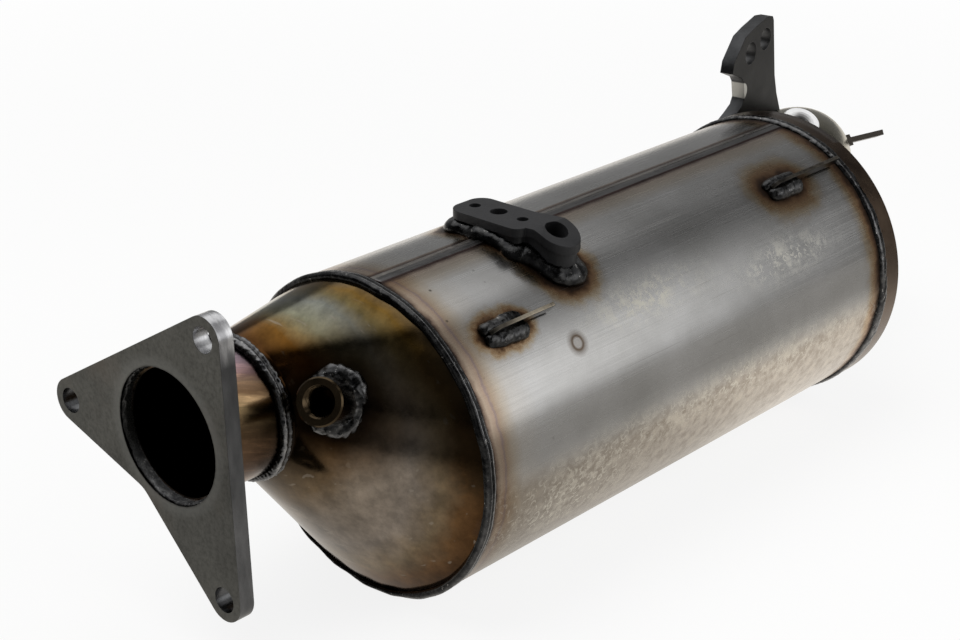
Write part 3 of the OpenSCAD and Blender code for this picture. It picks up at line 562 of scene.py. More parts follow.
def pipe_finish():
    """Heat tint by angle round the pipe: purple above, a narrow gold band that is heat tint with a
    painted highlight, streaky brown below.
    """
    finish, net, feed = metal("heat_tinted_pipe")
    weld = net.field("weld_mm")
    turn = net.moved(net.field("degrees"), weld, 0.7)
    strand = net.add("CombineXYZ", {"X": turn, "Y": net.times(weld, 0.25)}).outputs[0]
    streak = net.shake(strand, 0.16, 4)
    # The bright gold stop at 65 degrees between darker ones is a painted highlight over the heat tint
    base = net.scale(net.moved(turn, streak, 22.0), 180.0, [
        (0.0, (0.20, 0.18, 0.20)), (24.0, (0.34, 0.25, 0.29)), (40.0, (0.34, 0.21, 0.20)),
        (50.0, (0.36, 0.235, 0.15)), (58.0, (0.22, 0.13, 0.07)), (65.0, (0.52, 0.345, 0.185)),
        (73.0, (0.17, 0.12, 0.06)), (88.0, (0.10, 0.066, 0.035)), (104.0, (0.14, 0.085, 0.048)),
        (128.0, (0.08, 0.046, 0.028)), (150.0, (0.24, 0.17, 0.12)), (180.0, (0.22, 0.14, 0.09))])
    base = net.tint(base, net.ramp(streak, [(0.0, 1.0), (0.1, 1.5)]))
    base = net.tint(base, net.scale(weld, 16.0, [(2.0, 0.1), (7.0, 0.6), (14.0, 1.0)]))
    base = net.mix(net.field("inner"), base, GAS_SOOT)
    feed(net.noise(net.place(), 300), 0.12, Base_Color=base,
         Roughness=net.span(streak, -0.2, 0.2, 0.16, 0.28))
    return finish


def even(dark, ridge):
    """Tones across a weld, the same on both sides: dark edges and crown, and paler shoulders that are
    partly the weld's own grey and partly a painted highlight along its ridges.
    """
    half = [(0.0, dark / 2), (0.06, dark), (0.16, ridge * 0.8), (0.26, ridge), (0.38, dark)]
    return half + [(1 - place, tone) for place, tone in half[::-1]]


def weld_finish(name, tones, flecks_and_glints, metallic=1.0, painted_shade=False):
    """Weld metal: tones across the bead, scale in patches and bright flecks that are partly painted
    glints, perhaps with painted shade above.
    """
    finish, net, feed = metal(name)
    where = net.place()
    cloud = net.noise(where, 260, 4)
    band = net.ramp(net.span(net.field("across"), -1, 1), tones)
    base = net.tint(band, net.ramp(cloud, [
        (0.35, (0.4, 0.4, 0.42)), (0.62, WHITE), (0.78, (1.9, 1.85, 1.8))]))
    # Bright flecks: partly bright weld metal and partly painted glints
    bright = net.ramp(net.noise(where, 420, 3, 0.7), [(0.64, 0.0), (0.70, 1.0)])
    base = net.mix(net.times(bright, flecks_and_glints), base, (0.55, 0.54, 0.52))
    if painted_shade:
        # Painted shade: the bead is near black above z = -10 mm, fading to its own tones by z = -29 mm
        soot_and_shade = net.span(net.parts(where)["Z"], -0.010, -0.029, soft=True)
        base = net.mix(soot_and_shade, (0.012, 0.012, 0.011), base)
    feed(net.noise(where, 700), 0.35, 0.0004, Base_Color=base, Metallic=metallic,
         Roughness=net.span(cloud, 0.3, 0.7, 0.14, 0.36))
    return finish


def plain_steel(name, low, high, rough, scale=60, metallic=1.0, grit=0.2, hole=None, shine=0.5):
    """Cloudy metal or scale between two colours, with a fine grit and perhaps painted shade down a hole.
    """
    finish, net, feed = metal(name)
    where = net.place()
    cloud = net.noise(where, scale, 5, 0.62)
    base = net.ramp(cloud, [(0.3, low), (0.7, high)])
    # Painted shade: darker down the hole, by the field hole
    if hole:
        base = net.mix(net.field("hole"), base, hole)
    feed(net.noise(where, 900), grit, Base_Color=base, Metallic=metallic, Specular_IOR_Level=shine,
         Roughness=net.span(cloud, 0.3, 0.7, rough - 0.07, rough + 0.07))
    return finish


def tab_finish(name, start, deg, low, high):
    """Dark scale, rubbed on the free end's outer edge: where the normal lies along the shell's outward
    radius, times a span along the shell."""
    finish, net, feed = metal(name)
    where = net.place()
    cloud = net.noise(where, 150, 4, 0.62)
    facing = net.vector("DOT_PRODUCT", net.normal(), (0, -sin(radians(deg)), cos(radians(deg))))
    dull = net.ramp(cloud, [(0.3, (0.018, 0.016, 0.014)), (0.7, (0.05, 0.046, 0.04))])
    rub_start, rub_full = ((CAN_X + start + u) * MM for u in (8, 22))
    free = net.span(net.parts(where)["X"], rub_start, rub_full, 0.15, 1.0)
    rubbed = net.times(net.span(facing, 0.7, 0.92), free)
    base = net.mix(rubbed, dull, net.ramp(cloud, [(0.3, low), (0.7, high)]))
    feed(net.noise(where, 900), 0.2, Base_Color=base, Roughness=net.span(cloud, 0.3, 0.7, 0.25, 0.4))
    return finish


def flange_finish():
    """Mill scale on the faces, a rubbed ring round the bore, brighter cut edges, a painted highlight on
    the upper lobe's edges, and soot in the bore.
    """
    finish, net, feed = metal("mill_steel")
    where = net.place()
    cloud = net.noise(where, 45, 5, 0.62)
    base = net.ramp(cloud, [(0.3, (0.088, 0.0885, 0.082)), (0.7, (0.13, 0.1305, 0.121))])
    grain = net.ramp(net.noise(where, 420, 5, 0.7), [(0.36, 0.74), (0.52, 1.0), (0.66, 1.16)])
    base = net.tint(base, grain)
    brown = net.ramp(net.noise(where, 18, 4), [(0.52, 0.0), (0.7, 0.5)])
    base = net.mix(brown, base, (0.125, 0.107, 0.09))
    part = net.parts(where)
    flat = net.add("CombineXYZ", {key: part[key] for key in "YZ"}).outputs[0]
    radius = net.times(net.vector("LENGTH", flat), 1 / MM)
    rubbed = net.scale(radius, 60.0, [(32.0, 0.0), (33.0, 0.8), (35.5, 0.55), (37.5, 0.15), (39.0, 0.0)])
    base = net.mix(net.times(rubbed, 0.45), base, (0.24, 0.247, 0.24))
    # Cut edges, with a painted highlight on the edges of the upper lobe
    cut = net.span(net.math("ABSOLUTE", net.parts(net.normal())["X"]), 0.75, 0.25)
    saw = net.noise(net.place((1, 0.3, 0.3)), 160)
    top_highlight = net.span(part["Z"], 0.043, 0.052)
    edge = net.mix(top_highlight, net.ramp(saw, [(0.3, (0.085, 0.087, 0.09)), (0.7, (0.15, 0.152, 0.157))]),
                   net.ramp(saw, [(0.4, (0.36, 0.36, 0.37)), (0.6, (0.74, 0.74, 0.75))]))
    base = net.mix(cut, base, edge)
    soot_and_shade = net.ramp(net.noise(where, 260, 4, 0.65), [
        (0.45, (0.03, 0.03, 0.028)), (0.62, (0.14, 0.14, 0.135))])
    base = net.mix(net.span(radius, 32.4, 31.7), base, soot_and_shade)
    feed(net.noise(where, 800), 0.18, Base_Color=base, Roughness=net.span(cut, 0.0, 1.0, 0.42, 0.27))
    return finish


def hanger_finish():
    """Dark plate with paler edges, and bright spots within a reach of their middles in its plane."""
    finish, net, feed = metal("dark_plate")
    where, turn = net.place(), radians(HANG_TURN)
    cloud = net.noise(where, 60, 5, 0.62)
    base = net.ramp(cloud, [(0.3, (0.010, 0.0104, 0.0108)), (0.7, (0.018, 0.0184, 0.019))])
    facing = net.vector("DOT_PRODUCT", net.normal(), (sin(turn), -cos(turn), 0))
    edge = net.span(net.math("ABSOLUTE", facing), 0.75, 0.25)
    base = net.mix(edge, base, net.ramp(cloud, [
        (0.3, (0.05, 0.051, 0.053)), (0.7, (0.12, 0.122, 0.126))]))
    moved = net.add("Mapping", {0: where, 1: (-HANG_X * MM, -HANG_Y * MM, -CAN_Z * MM)}).outputs[0]
    turned = net.add("VectorRotate", {"Vector": moved, "Axis": (0, 0, 1), "Angle": -turn}).outputs[0]
    part = net.parts(turned)
    plan = net.add("CombineXYZ", {"X": part["X"], "Y": part["Z"]}).outputs[0]
    for x, z, reach, shade in HANG_SPOTS:
        away = net.vector("DISTANCE", plan, (x * MM, z * MM, 0))
        base = net.mix(net.span(away, reach * MM, (reach - 0.6) * MM), base, shade)
    feed(net.noise(where, 900), 0.3, Base_Color=base, Roughness=net.span(cloud, 0.3, 0.7, 0.38, 0.5))
    return finish


def seam_finish():
    """A pale strip, a dark groove and a darker band, each with its own tone across the seam."""
    finish, net, feed = metal("seam_strip")
    lengthwise = net.noise(net.place((0.08, 1, 1)), 400, 4)
    tone = net.ramp(net.span(net.field("across"), -1, 1), [
        (0.0, (0.09, 0.06, 0.06)), (0.05, (0.24, 0.19, 0.17)), (0.12, (0.40, 0.37, 0.34)),
        (0.28, (0.38, 0.36, 0.33)), (0.34, (0.10, 0.09, 0.09)), (0.42, (0.21, 0.205, 0.20)),
        (0.86, (0.18, 0.175, 0.175)), (0.93, (0.10, 0.07, 0.065)), (1.0, (0.07, 0.045, 0.04))])
    base = net.tint(tone, net.ramp(lengthwise, [(0.3, 0.48), (0.7, 0.85)]))
    feed(net.noise(net.place(), 500), 0.2, Base_Color=base,
         Roughness=net.span(lengthwise, 0.3, 0.7, 0.24, 0.36))
    return finish


shell_steel, cone_tint, pipe_tint = shell_finish(), cone_finish(), pipe_finish()
flange_steel, hanger_steel, seam_steel = flange_finish(), hanger_finish(), seam_finish()
# Tones from the shell side to the cone side: the grey strip is partly the weld's own grey and partly
# painted glints, and the thin bright line at 0.63 is a painted highlight along a ridge
front_weld = weld_finish("front_weld", [
    (0.0, 0.01), (0.06, 0.02), (0.10, 0.20), (0.33, 0.27), (0.37, 0.03), (0.60, 0.022), (0.63, 0.36),
    (0.67, 0.06), (0.90, 0.10), (1.0, 0.02)], 0.4)
ring_weld = weld_finish("ring_weld", even(0.05, 0.2), 0.7)
pipe_weld = weld_finish("pipe_weld", even(0.13, 0.34), 0.4)
silver_weld = weld_finish("silver_weld", even(0.06, 0.19), 0.9)
# The flange weld inside the bore gets painted shade above its lowest part
flange_weld = weld_finish("flange_weld", even(0.10, 0.14), 0.6, 0.3, True)
black_weld = weld_finish("black_weld", even(0.075, 0.10), 0.6)
boss_bronze = plain_steel("bronzed_boss", (0.04, 0.029, 0.017), (0.10, 0.072, 0.042), 0.17, 90)
# The rear boss's hole gets painted shade, a 0.20 grey, below its mouth
bright_steel = plain_steel("turned_face", (0.74, 0.74, 0.74), (0.84, 0.84, 0.84), 0.45, 90, 0.2,
                           hole=(0.20, 0.20, 0.20))
bracket_black = plain_steel("matt_black", (0.010, 0.010, 0.011), (0.017, 0.017, 0.018), 0.42, 120, 0.0,
                            0.5, shine=0.33)
front_tab_steel = tab_finish("rubbed_tab", *TABS["front"], (0.30, 0.26, 0.20), (0.62, 0.55, 0.43))
rear_tab_steel = tab_finish("dull_tab", *TABS["rear"], (0.07, 0.062, 0.05), (0.20, 0.18, 0.15))
dark_steel = plain_steel("dull_strip", (0.045, 0.04, 0.034), (0.085, 0.075, 0.064), 0.35, 150)
skirt_steel = plain_steel("browned_skirt", (0.075, 0.05, 0.035), (0.14, 0.10, 0.07), 0.28, 40)
outlet_steel = plain_steel("olive_elbow", (0.31, 0.29, 0.225), (0.48, 0.45, 0.37), 0.25, 30)
inner_steel = plain_steel("plain_ring", (0.45, 0.45, 0.43), (0.58, 0.58, 0.56), 0.35, 60)
washcoat = plain_steel("washcoated_ceramic", (0.50, 0.46, 0.37), (0.60, 0.55, 0.46), 0.8, 200, 0.0)
bare_ceramic = plain_steel("bare_ceramic", (0.20, 0.19, 0.185), (0.26, 0.25, 0.24), 0.8, 200, 0.0)
fibre = plain_steel("fibre_felt", (0.66, 0.65, 0.60), (0.78, 0.77, 0.73), 0.9, 300, 0.0)


def wear(piece, finish, slot, *nodes):
    """Gives a piece its finish and hides the imported solids that it stands for; slot is not used."""
    piece.data.materials.clear()
    piece.data.materials.append(finish)
    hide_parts(*nodes)


# Canister shell and seam


def shell():
    """A closed tube: outer rows of circles, then one inner row at each end, less the sheet. Fields
    hold the distances over the sheet to the welds and the places of the frosted patches."""
    rows, m = 290, 300
    x = np.linspace(CAN_X, SHELL_END, rows)
    x = np.concatenate([x, [SHELL_END, CAN_X]])
    r = np.where(np.arange(rows + 2) < rows, CAN_R, CAN_R - SHEET)
    a, u = angles(m), x[:, None] - CAN_X
    arc = np.radians(a) * CAN_R

    def from_line(u0, arc0, u1, arc1, r):
        """Distance over the sheet from a line less r: the length of p - t d, where p starts at the
        line's start, d is the line and t the share of it, from 0 to 1, that lies next to p."""
        p = np.stack(np.broadcast_arrays(u - u0, arc - arc0), -1)
        d = np.array([u1 - u0, arc1 - arc0])
        t = np.clip((p @ d) / (d @ d), 0, 1)
        return np.linalg.norm(p - t[..., None] * d, axis=-1) - r

    feet = [from_line(start + 3, radians(deg) * CAN_R, start + 20, radians(deg) * CAN_R, r)
            for (start, deg), r in zip(TABS.values(), (5.7, 6.5))]
    frost = sum(np.exp(-(((u - u0) / du) ** 2) - (((a - a0) / da) ** 2)) for u0, a0, du, da in FROST)
    arcs = np.linspace(0, 2 * pi, m + 1) * CAN_R / MAP_MM
    rear_edge = SKIRT_X - CAN_X - REAR_HEAT
    piece = surface(
        "shell_sheet", circles(x, CAN_Y, CAN_Z, r, m),
        uv=((np.append(x, CAN_X) - CAN_X) / MAP_MM, arcs),
        rear_mm=rear_edge - u, eye_mm=from_line(EYE_X, -12, EYE_X + 5, 40, 14.5),
        front_mm=feet[0], tab_mm=feet[1], frost=np.clip(frost, 0, 1),
        speck_zone=np.exp(-((u / 60) ** 2) - (((a - 35) / 40) ** 2)))
    wear(piece, shell_steel, "shell_stainless", "canister_shell")


def seam():
    """The lengthwise weld: across it the height over the shell is a low strip, a groove and a higher
    band, made of smooth steps; it wavers with slow noise along the shell. The underside lies in the
    sheet, and the first and last rows shrink to a point."""
    u = np.linspace(SEAM_START, SEAM_END, 420)[:, None]
    s = np.linspace(-1, 1, 45)[None, :]
    drift = s + 0.035 * waves(51, 0.02, 0.12, 8, u)
    strip = 0.26 * step(drift, -1.0, -0.84) * step(drift, -0.30, -0.40)
    band = 0.62 * step(drift, -0.30, -0.12) * step(drift, 1.0, 0.78)
    scale = 0.03 * waves(52, 0.4, 1.4, 12, u, 4 * s)
    top = on_shell(u, SEAM_DEG + SEAM_HALF * s, CAN_R - 0.06 + strip + band + scale * (1 - s ** 8))
    under = on_shell(u, SEAM_DEG + SEAM_HALF * s[:, ::-8], CAN_R - 0.4)
    points = np.concatenate([top, under], 1)
    points[[0, -1]] = points[[0, -1]].mean(1, keepdims=True)
    across = np.concatenate([s, s[:, ::-8]], 1)
    wear(surface("seam_strip", points, along=False, across=across), seam_steel, "weld_bead", "seam_weld")


shell()
seam()


# Cones and pipes


def boss_place():
    """Foot and axis of the front boss: a share along the cone, an angle round it, a lean and a turn."""
    r = NECK_R + (CONE_R - NECK_R) * BOSS_SHARE
    a, lean, turn = radians(BOSS_DEG), radians(BOSS_LEAN), radians(BOSS_TURN)
    foot = np.array([CONE_X + (CAN_X - CONE_X) * BOSS_SHARE, CAN_Y * BOSS_SHARE - r * sin(a),
                     CAN_Z * BOSS_SHARE + r * cos(a)])
    return foot, np.array([-sin(lean), -cos(lean) * sin(turn), cos(lean) * cos(turn)])


def rear_boss_place():
    """Foot and axis of the rear boss: an angle round the outlet pipe, and a lean towards the inlet."""
    turn, lean = radians(REAR_BOSS_DEG), radians(REAR_BOSS_LEAN)
    foot = np.array([BEND_X - BOSS_R, OUT_Y - OUT_R * sin(turn), OUT_Z + OUT_R * cos(turn)])
    return foot, np.array([-sin(lean), -cos(lean) * sin(turn), cos(lean) * cos(turn)])


def inlet_cone():
    """Neck, then circles whose centre and radius run evenly from the pipe to the shell, then a spigot,
    with a sheet's thickness inside. Fields: share along, distance from the boss, inner side."""
    t = np.linspace(0, 1, 90)
    neck = [CONE_X - NECK, CONE_X - NECK / 2]
    x = np.concatenate([neck, CONE_X + (CAN_X - CONE_X) * t, [CAN_X + SPIGOT]])
    t = np.concatenate([[0, 0], t, [1]])
    rows = there_and_back((x, CAN_Y * t, CAN_Z * t, NECK_R + (CONE_R - NECK_R) * t), SHEET)
    points = circles(*rows, 288)
    away = np.linalg.norm(np.cross(points - boss_foot, boss_axis), axis=-1) - BOSS_R
    share = np.concatenate([t, t[::-1]])[:, None]
    piece = surface("cone_sheet", points, share=share, degrees=np.abs(angles(288)), boss_mm=away,
                    inner=np.repeat([0.0, 1.0], len(x))[:, None])
    wear(piece, cone_tint, "tinted_cone", "inlet_cone")


def inlet_pipe():
    """A straight tube of circles with a wall. Fields: degrees from the top, distance to the weld, inner
    side."""
    x = np.linspace(PIPE_START, CONE_X + 1, 40)
    rows = there_and_back((x, 0.0, 0.0, PIPE_R), SHEET)
    piece = surface("pipe_sheet", circles(*rows, 180), degrees=np.abs(angles(180)),
                    weld_mm=CONE_X - NECK - rows[0][:, None],
                    inner=np.repeat([0.0, 1.0], len(x))[:, None])
    wear(piece, pipe_tint, "tinted_pipe", "inlet_pipe")


def outlet_cone():
    """Skirt, then circles whose centre and radius run evenly to the outlet pipe, with a wall."""
    t = np.linspace(0, 1, 50)
    skirt = [SKIRT_X, SKIRT_X + 6]
    x = np.concatenate([skirt, OUT_CONE_X + (OUT_X - OUT_CONE_X) * t, [OUT_X + OUT_NECK]])
    t = np.concatenate([[0, 0], t, [1]])
    y, z = CAN_Y + (OUT_Y - CAN_Y) * t, CAN_Z + (OUT_Z - CAN_Z) * t
    rows = there_and_back((x, y, z, SKIRT_R + (OUT_R + SHEET - SKIRT_R) * t), SHEET)
    wear(surface("rear_cone_sheet", circles(*rows, 288)), skirt_steel, "rear_cone_steel", "outlet_cone")


def outlet_pipe():
    """A tube along a path: straight in X, a quarter turn of radius BEND_R towards BEND_WAY, then a
    stub. Circle point = centre + r (cos b out + sin b level), where out leads away from the turn."""
    q = np.concatenate([np.zeros(12), np.linspace(0, pi / 2, 48), np.full(12, pi / 2)])[:, None]
    lead, stub = np.linspace(OUT_X - 1 - BEND_X, -0.4, 12), np.linspace(0.4, STUB, 12)
    run = np.concatenate([lead, np.zeros(48), stub])[:, None]
    ahead, bend = np.array([1.0, 0, 0]), unit(BEND_WAY)
    centre = np.array([BEND_X, OUT_Y, OUT_Z]) + BEND_R * (np.sin(q) * ahead + (1 - np.cos(q)) * bend)
    centre = (centre + run * (np.cos(q) * ahead + np.sin(q) * bend))[:, None]
    out, level = np.sin(q) * ahead - np.cos(q) * bend, np.cross(ahead, bend)
    b = np.linspace(0, 2 * pi, 160, endpoint=False)[:, None]
    ring = np.cos(b) * out[:, None] + np.sin(b) * level
    points = np.concatenate([centre + OUT_R * ring, (centre + (OUT_R - SHEET) * ring)[::-1]])
    wear(surface("outlet_tube", points), outlet_steel, "outlet_steel", "outlet_pipe")


def boss(name, foot, axis, root, height, finish, slot, node):
    """A turned boss: circles about its axis. The outside has a small chamfer, and the hole's radius
    follows a triangle wave of height less turn, which is the thread, out to the mouth's chamfer. The
    field hole is a smooth step down from the mouth, which a finish uses to paint shade into the hole."""
    e1 = unit(np.cross(axis, [1.0, 0, 0]))
    e2 = np.cross(axis, e1)
    b = np.linspace(0, 2 * pi, 72, endpoint=False)[None, :]
    h = np.linspace(height - 0.01, -root, 170)[:, None]
    tooth = np.abs(2 * ((h / THREAD_PITCH - b / (2 * pi)) % 1) - 1)
    mouth = BOSS_HOLE + BOSS_MOUTH + h - height
    hole = np.maximum(BOSS_HOLE + THREAD_DEPTH * tooth * step(h, -root, -root + 2), mouth)
    outer = np.array([[BOSS_R, -root], [BOSS_R, height - BOSS_EDGE], [BOSS_R - BOSS_EDGE, height],
                      [BOSS_HOLE + BOSS_MOUTH, height]])
    radius = np.concatenate([np.broadcast_to(outer[:, :1], (4, b.size)), hole])[..., None]
    level = np.concatenate([outer[:, 1:], h])[..., None]
    points = foot + radius * (np.cos(b)[..., None] * e1 + np.sin(b)[..., None] * e2) + level * axis
    depth = np.concatenate([np.zeros((4, 1)), step(height - h, 1.2, 4.5)])
    wear(surface(name, points, crease=30, hole=depth), finish, slot, node)


boss_foot, boss_axis = boss_place()
rear_foot, rear_axis = rear_boss_place()
inlet_cone()
inlet_pipe()
outlet_cone()
outlet_pipe()
boss("sensor_boss", boss_foot, boss_axis, BOSS_ROOT, BOSS_H, boss_bronze, "boss_steel", "front_boss")
boss("rear_sensor_boss", rear_foot, rear_axis, REAR_BOSS_ROOT, REAR_BOSS_H, bright_steel,
     "bright_steel", "rear_boss")


# Welds


def ring_beads():
    """Round beads at the ends of the canister, on the pipes and inside the flange. The front one is half
    as fat where grinding left it flush, by smooth steps of the angle from the top."""
    turn = np.linspace(0, 360, 900, endpoint=False)[:, None]
    flush = 1 - 0.5 * step(turn, 150, 172) * step(turn, 262, 240)
    can, pipe, outlet = (CAN_Y, CAN_Z), (0, 0), (OUT_Y, OUT_Z)
    for name, x, r, axis, n, width, height, finish, node, how in (
            ("front_ring_bead", CAN_X - BEAD_AHEAD, CAN_R - FRONT_SINK, can, 900,
             RING_BEAD + 0.3, RING_BEAD, front_weld, "front_ring_weld",
             dict(seed=11, ripple=0.008, groove=0.14, lump=0.07, grain=0.02, wander=0.4, fat=flush)),
            ("rear_ring_bead", SKIRT_X - BEAD_AHEAD, CAN_R - REAR_SINK, can, 900,
             RING_BEAD + 0.7, RING_BEAD, ring_weld, "rear_ring_weld",
             dict(seed=12, ripple=0.02, groove=0.1, lump=0.07, wander=0.3)),
            ("pipe_bead", CONE_X - NECK + 0.6, PIPE_R + 0.9, pipe, 420,
             3.2, 2.7, pipe_weld, "inlet_pipe_weld",
             dict(seed=13, ripple=0.06, groove=0.28, lump=0.16, grain=0.08, wander=0.4)),
            ("outlet_bead", OUT_X + OUT_NECK - 0.6, OUT_R + 0.9, outlet, 420,
             3.0, 2.7, pipe_weld, "outlet_pipe_weld", dict(seed=14)),
            ("flange_bead", FLANGE_BEAD_X, PIPE_R + 0.3, pipe, 520,
             3.0, 0.9, flange_weld, "inlet_flange_weld",
             dict(seed=15, lump=0.14, grain=0.12, ripple=0.02, sink=1.2))):
        path, outward = circle_path(x, r, *axis, n)
        wear(bead(name, path, outward, width, height, **how), finish, "weld_bead", node)


def boss_bead(name, foot, axis, gap, start, reach, node, finish, **how):
    """A bead round a boss: rays down the boss wall find the sheet, and the bead leans half way
    between the boss wall and the boss axis."""
    b = np.linspace(0, 2 * pi, 260, endpoint=False)[:, None]
    e1 = unit(np.cross(axis, [1.0, 0, 0]))
    wall = np.cos(b) * e1 + np.sin(b) * np.cross(axis, e1)
    path = touch(foot + (BOSS_R + 0.6) * wall + start * axis, -axis, gap, reach)
    wear(bead(name, path, 0.6 * wall + axis, **how), finish, "weld_bead", node)


def foot_gap(p):
    """Distance outside the bracket foot's outline in plan, less an inset: the nearer of a plate with
    round corners and a round-ended web from the plate to the eye."""
    half = np.array([FOOT_HALF, (FOOT_FAR - FOOT_NEAR) / 2])
    q = np.abs(p - [0, (FOOT_FAR + FOOT_NEAR) / 2]) - half + FOOT_CORNER
    plate = np.linalg.norm(np.maximum(q, 0), axis=1) + np.minimum(q.max(1), 0) - FOOT_CORNER
    web = EYE_CENTRE - WEB_START
    t = np.clip((p - WEB_START) @ web / (web @ web), 0, 1)
    eye = np.linalg.norm(p - WEB_START - t[:, None] * web, axis=1) - EYE_FOOT_R
    return np.minimum(plate, eye) + FOOT_INSET


def eye_bead():
    """The weld round the bracket's foot: rays towards the middle of the foot find its outline in plan,
    even steps along it are dropped on the shell, and the bead swells by bell curves at two lumps."""
    b = np.linspace(0, 2 * pi, 720, endpoint=False)
    rays = np.stack([np.cos(b), np.sin(b)], -1)
    plan = touch(FOOT_MIDDLE + RAY_LENGTH * rays, -rays, foot_gap, RAY_LENGTH)
    run = np.concatenate([[0], np.cumsum(np.linalg.norm(np.diff(plan, axis=0), axis=1))])
    places = np.linspace(0, run[-1], 520, endpoint=False)
    plan = np.stack([np.interp(places, run, plan[:, k]) for k in range(2)], -1)
    fat = 1
    for spot, more, reach in (((10.0, -44.0), 0.25, 6), ((-8.5, -27.0), 0.35, 5)):
        fat = fat + more * np.exp(-((np.linalg.norm(plan - spot, axis=1) / reach) ** 2))
    level = plan[:, 1] / CAN_R
    outward = np.stack([0 * level, level, np.sqrt(1 - level ** 2)], -1)
    path = np.array([CAN_X + EYE_X, CAN_Y, CAN_Z]) + CAN_R * outward
    path[:, 0] += plan[:, 0]
    wear(bead("bracket_bead", path, outward, 6.3, 5.0, 31, lump=0.2, grain=0.035, ripple=0.0, pitch=3.4,
              sink=0.3, fat=fat[:, None]), black_weld, "weld_bead", "eye_bracket_weld")


def tab_beads():
    """Two lumps along each tab's foot, one on either side of the strip. The near one stands for the
    imported weld."""
    u = np.linspace(-2.0, TAB_FOOT - 3, 90)
    for k, (end, (start, deg)) in enumerate(TABS.items()):
        for side, off, width in (("near", 3.0, 4.4), ("far", -2.8, 3.8)):
            place = deg + np.degrees(off / CAN_R)
            path = on_shell(start + u, place, CAN_R - 0.2)
            outward = on_shell(0 * u, place, 1.0) - on_shell(0 * u, deg, 0.0)
            seed = 61 + 3 * k + (side == "far")
            lumps = bead(f"{end}_tab_bead_{side}", path, outward, width, 4.6, seed, False,
                         lump=0.22, grain=0.04, ripple=0.03, pitch=4.0)
            wear(lumps, black_weld, "weld_bead", *([f"{end}_tab_weld"] if side == "near" else []))


def hanger_beads():
    """Beads along both sides of the hanger's foot: rays straight down find the outlet cone. The near
    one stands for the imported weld."""
    s = np.linspace(-22, -4, 80)
    turn = radians(HANG_TURN)
    for side, off in (("near", -0.4), ("far", HANG_T + 0.4)):
        start = np.stack([HANG_X + s * cos(turn) - off * sin(turn),
                          HANG_Y + s * sin(turn) + off * cos(turn), np.full(len(s), RAY_TOP)], -1)
        path = touch(start, np.array([0.0, 0, -1]), rear_gap, RAY_TOP)
        face = np.array([sin(turn), -cos(turn), 0]) * (1 if side == "near" else -1)
        lift = np.array([0.0, 0, 1]) + face + 0 * path
        lumps = bead(f"hanger_bead_{side}", path, lift, 3.2, 3.0, 81, False, lump=0.2, grain=0.06)
        wear(lumps, black_weld, "weld_bead", *(["hanger_weld"] if side == "near" else []))


ring_beads()
boss_bead("boss_bead", boss_foot, boss_axis, cone_gap, 18, 40, "front_boss_weld", silver_weld,
          width=4.6, height=3.4, seed=21, lump=0.34, grain=0.13, ripple=0.04, pitch=2.8, sink=0.9)
boss_bead("rear_boss_bead", rear_foot, rear_axis, rear_gap, 6, 20, "rear_boss_weld", pipe_weld,
          width=2.4, height=1.6, seed=25, lump=0.14)
eye_bead()
tab_beads()
hanger_beads()

# Solids that keep their shape: plates with rounded edges, and the pieces inside

for node, width, finish, slot in (
        ("inlet_flange", 0.6, flange_steel, "flange_steel"),
        ("eye_bracket", 0.9, bracket_black, "black_bracket"),
        ("front_tab", 0.3, front_tab_steel, "tab_steel"),
        ("rear_tab", 0.3, rear_tab_steel, "tab_steel"),
        ("hanger_plate", 0.6, hanger_steel, "hanger_steel"),
        ("outlet_tab", 0.3, dark_steel, "tab_steel"),
        ("outlet_tab_weld", 0.9, dark_steel, "weld_bead")):
    wear(chamfered(node, width), finish, slot, node)

for node, finish in {
        "catalyst_brick": washcoat, "filter_brick": bare_ceramic, "catalyst_mat": fibre,
        "filter_mat": fibre, "spacer_ring": inner_steel, "retaining_ring": inner_steel}.items():
    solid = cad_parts[node]
    solid.data.materials.clear()
    solid.data.materials.append(finish)


# Studio: pale floor, a paper tent for the reflections, soft lamps


def staged(name, points, finish):
    """A mesh that belongs to the studio and not to the object."""
    mesh = skin(name, points, False, False)
    mesh.materials.append(finish)
    prop = bpy.data.objects.new(name, mesh)
    scene.collection.objects.link(prop)
    return prop


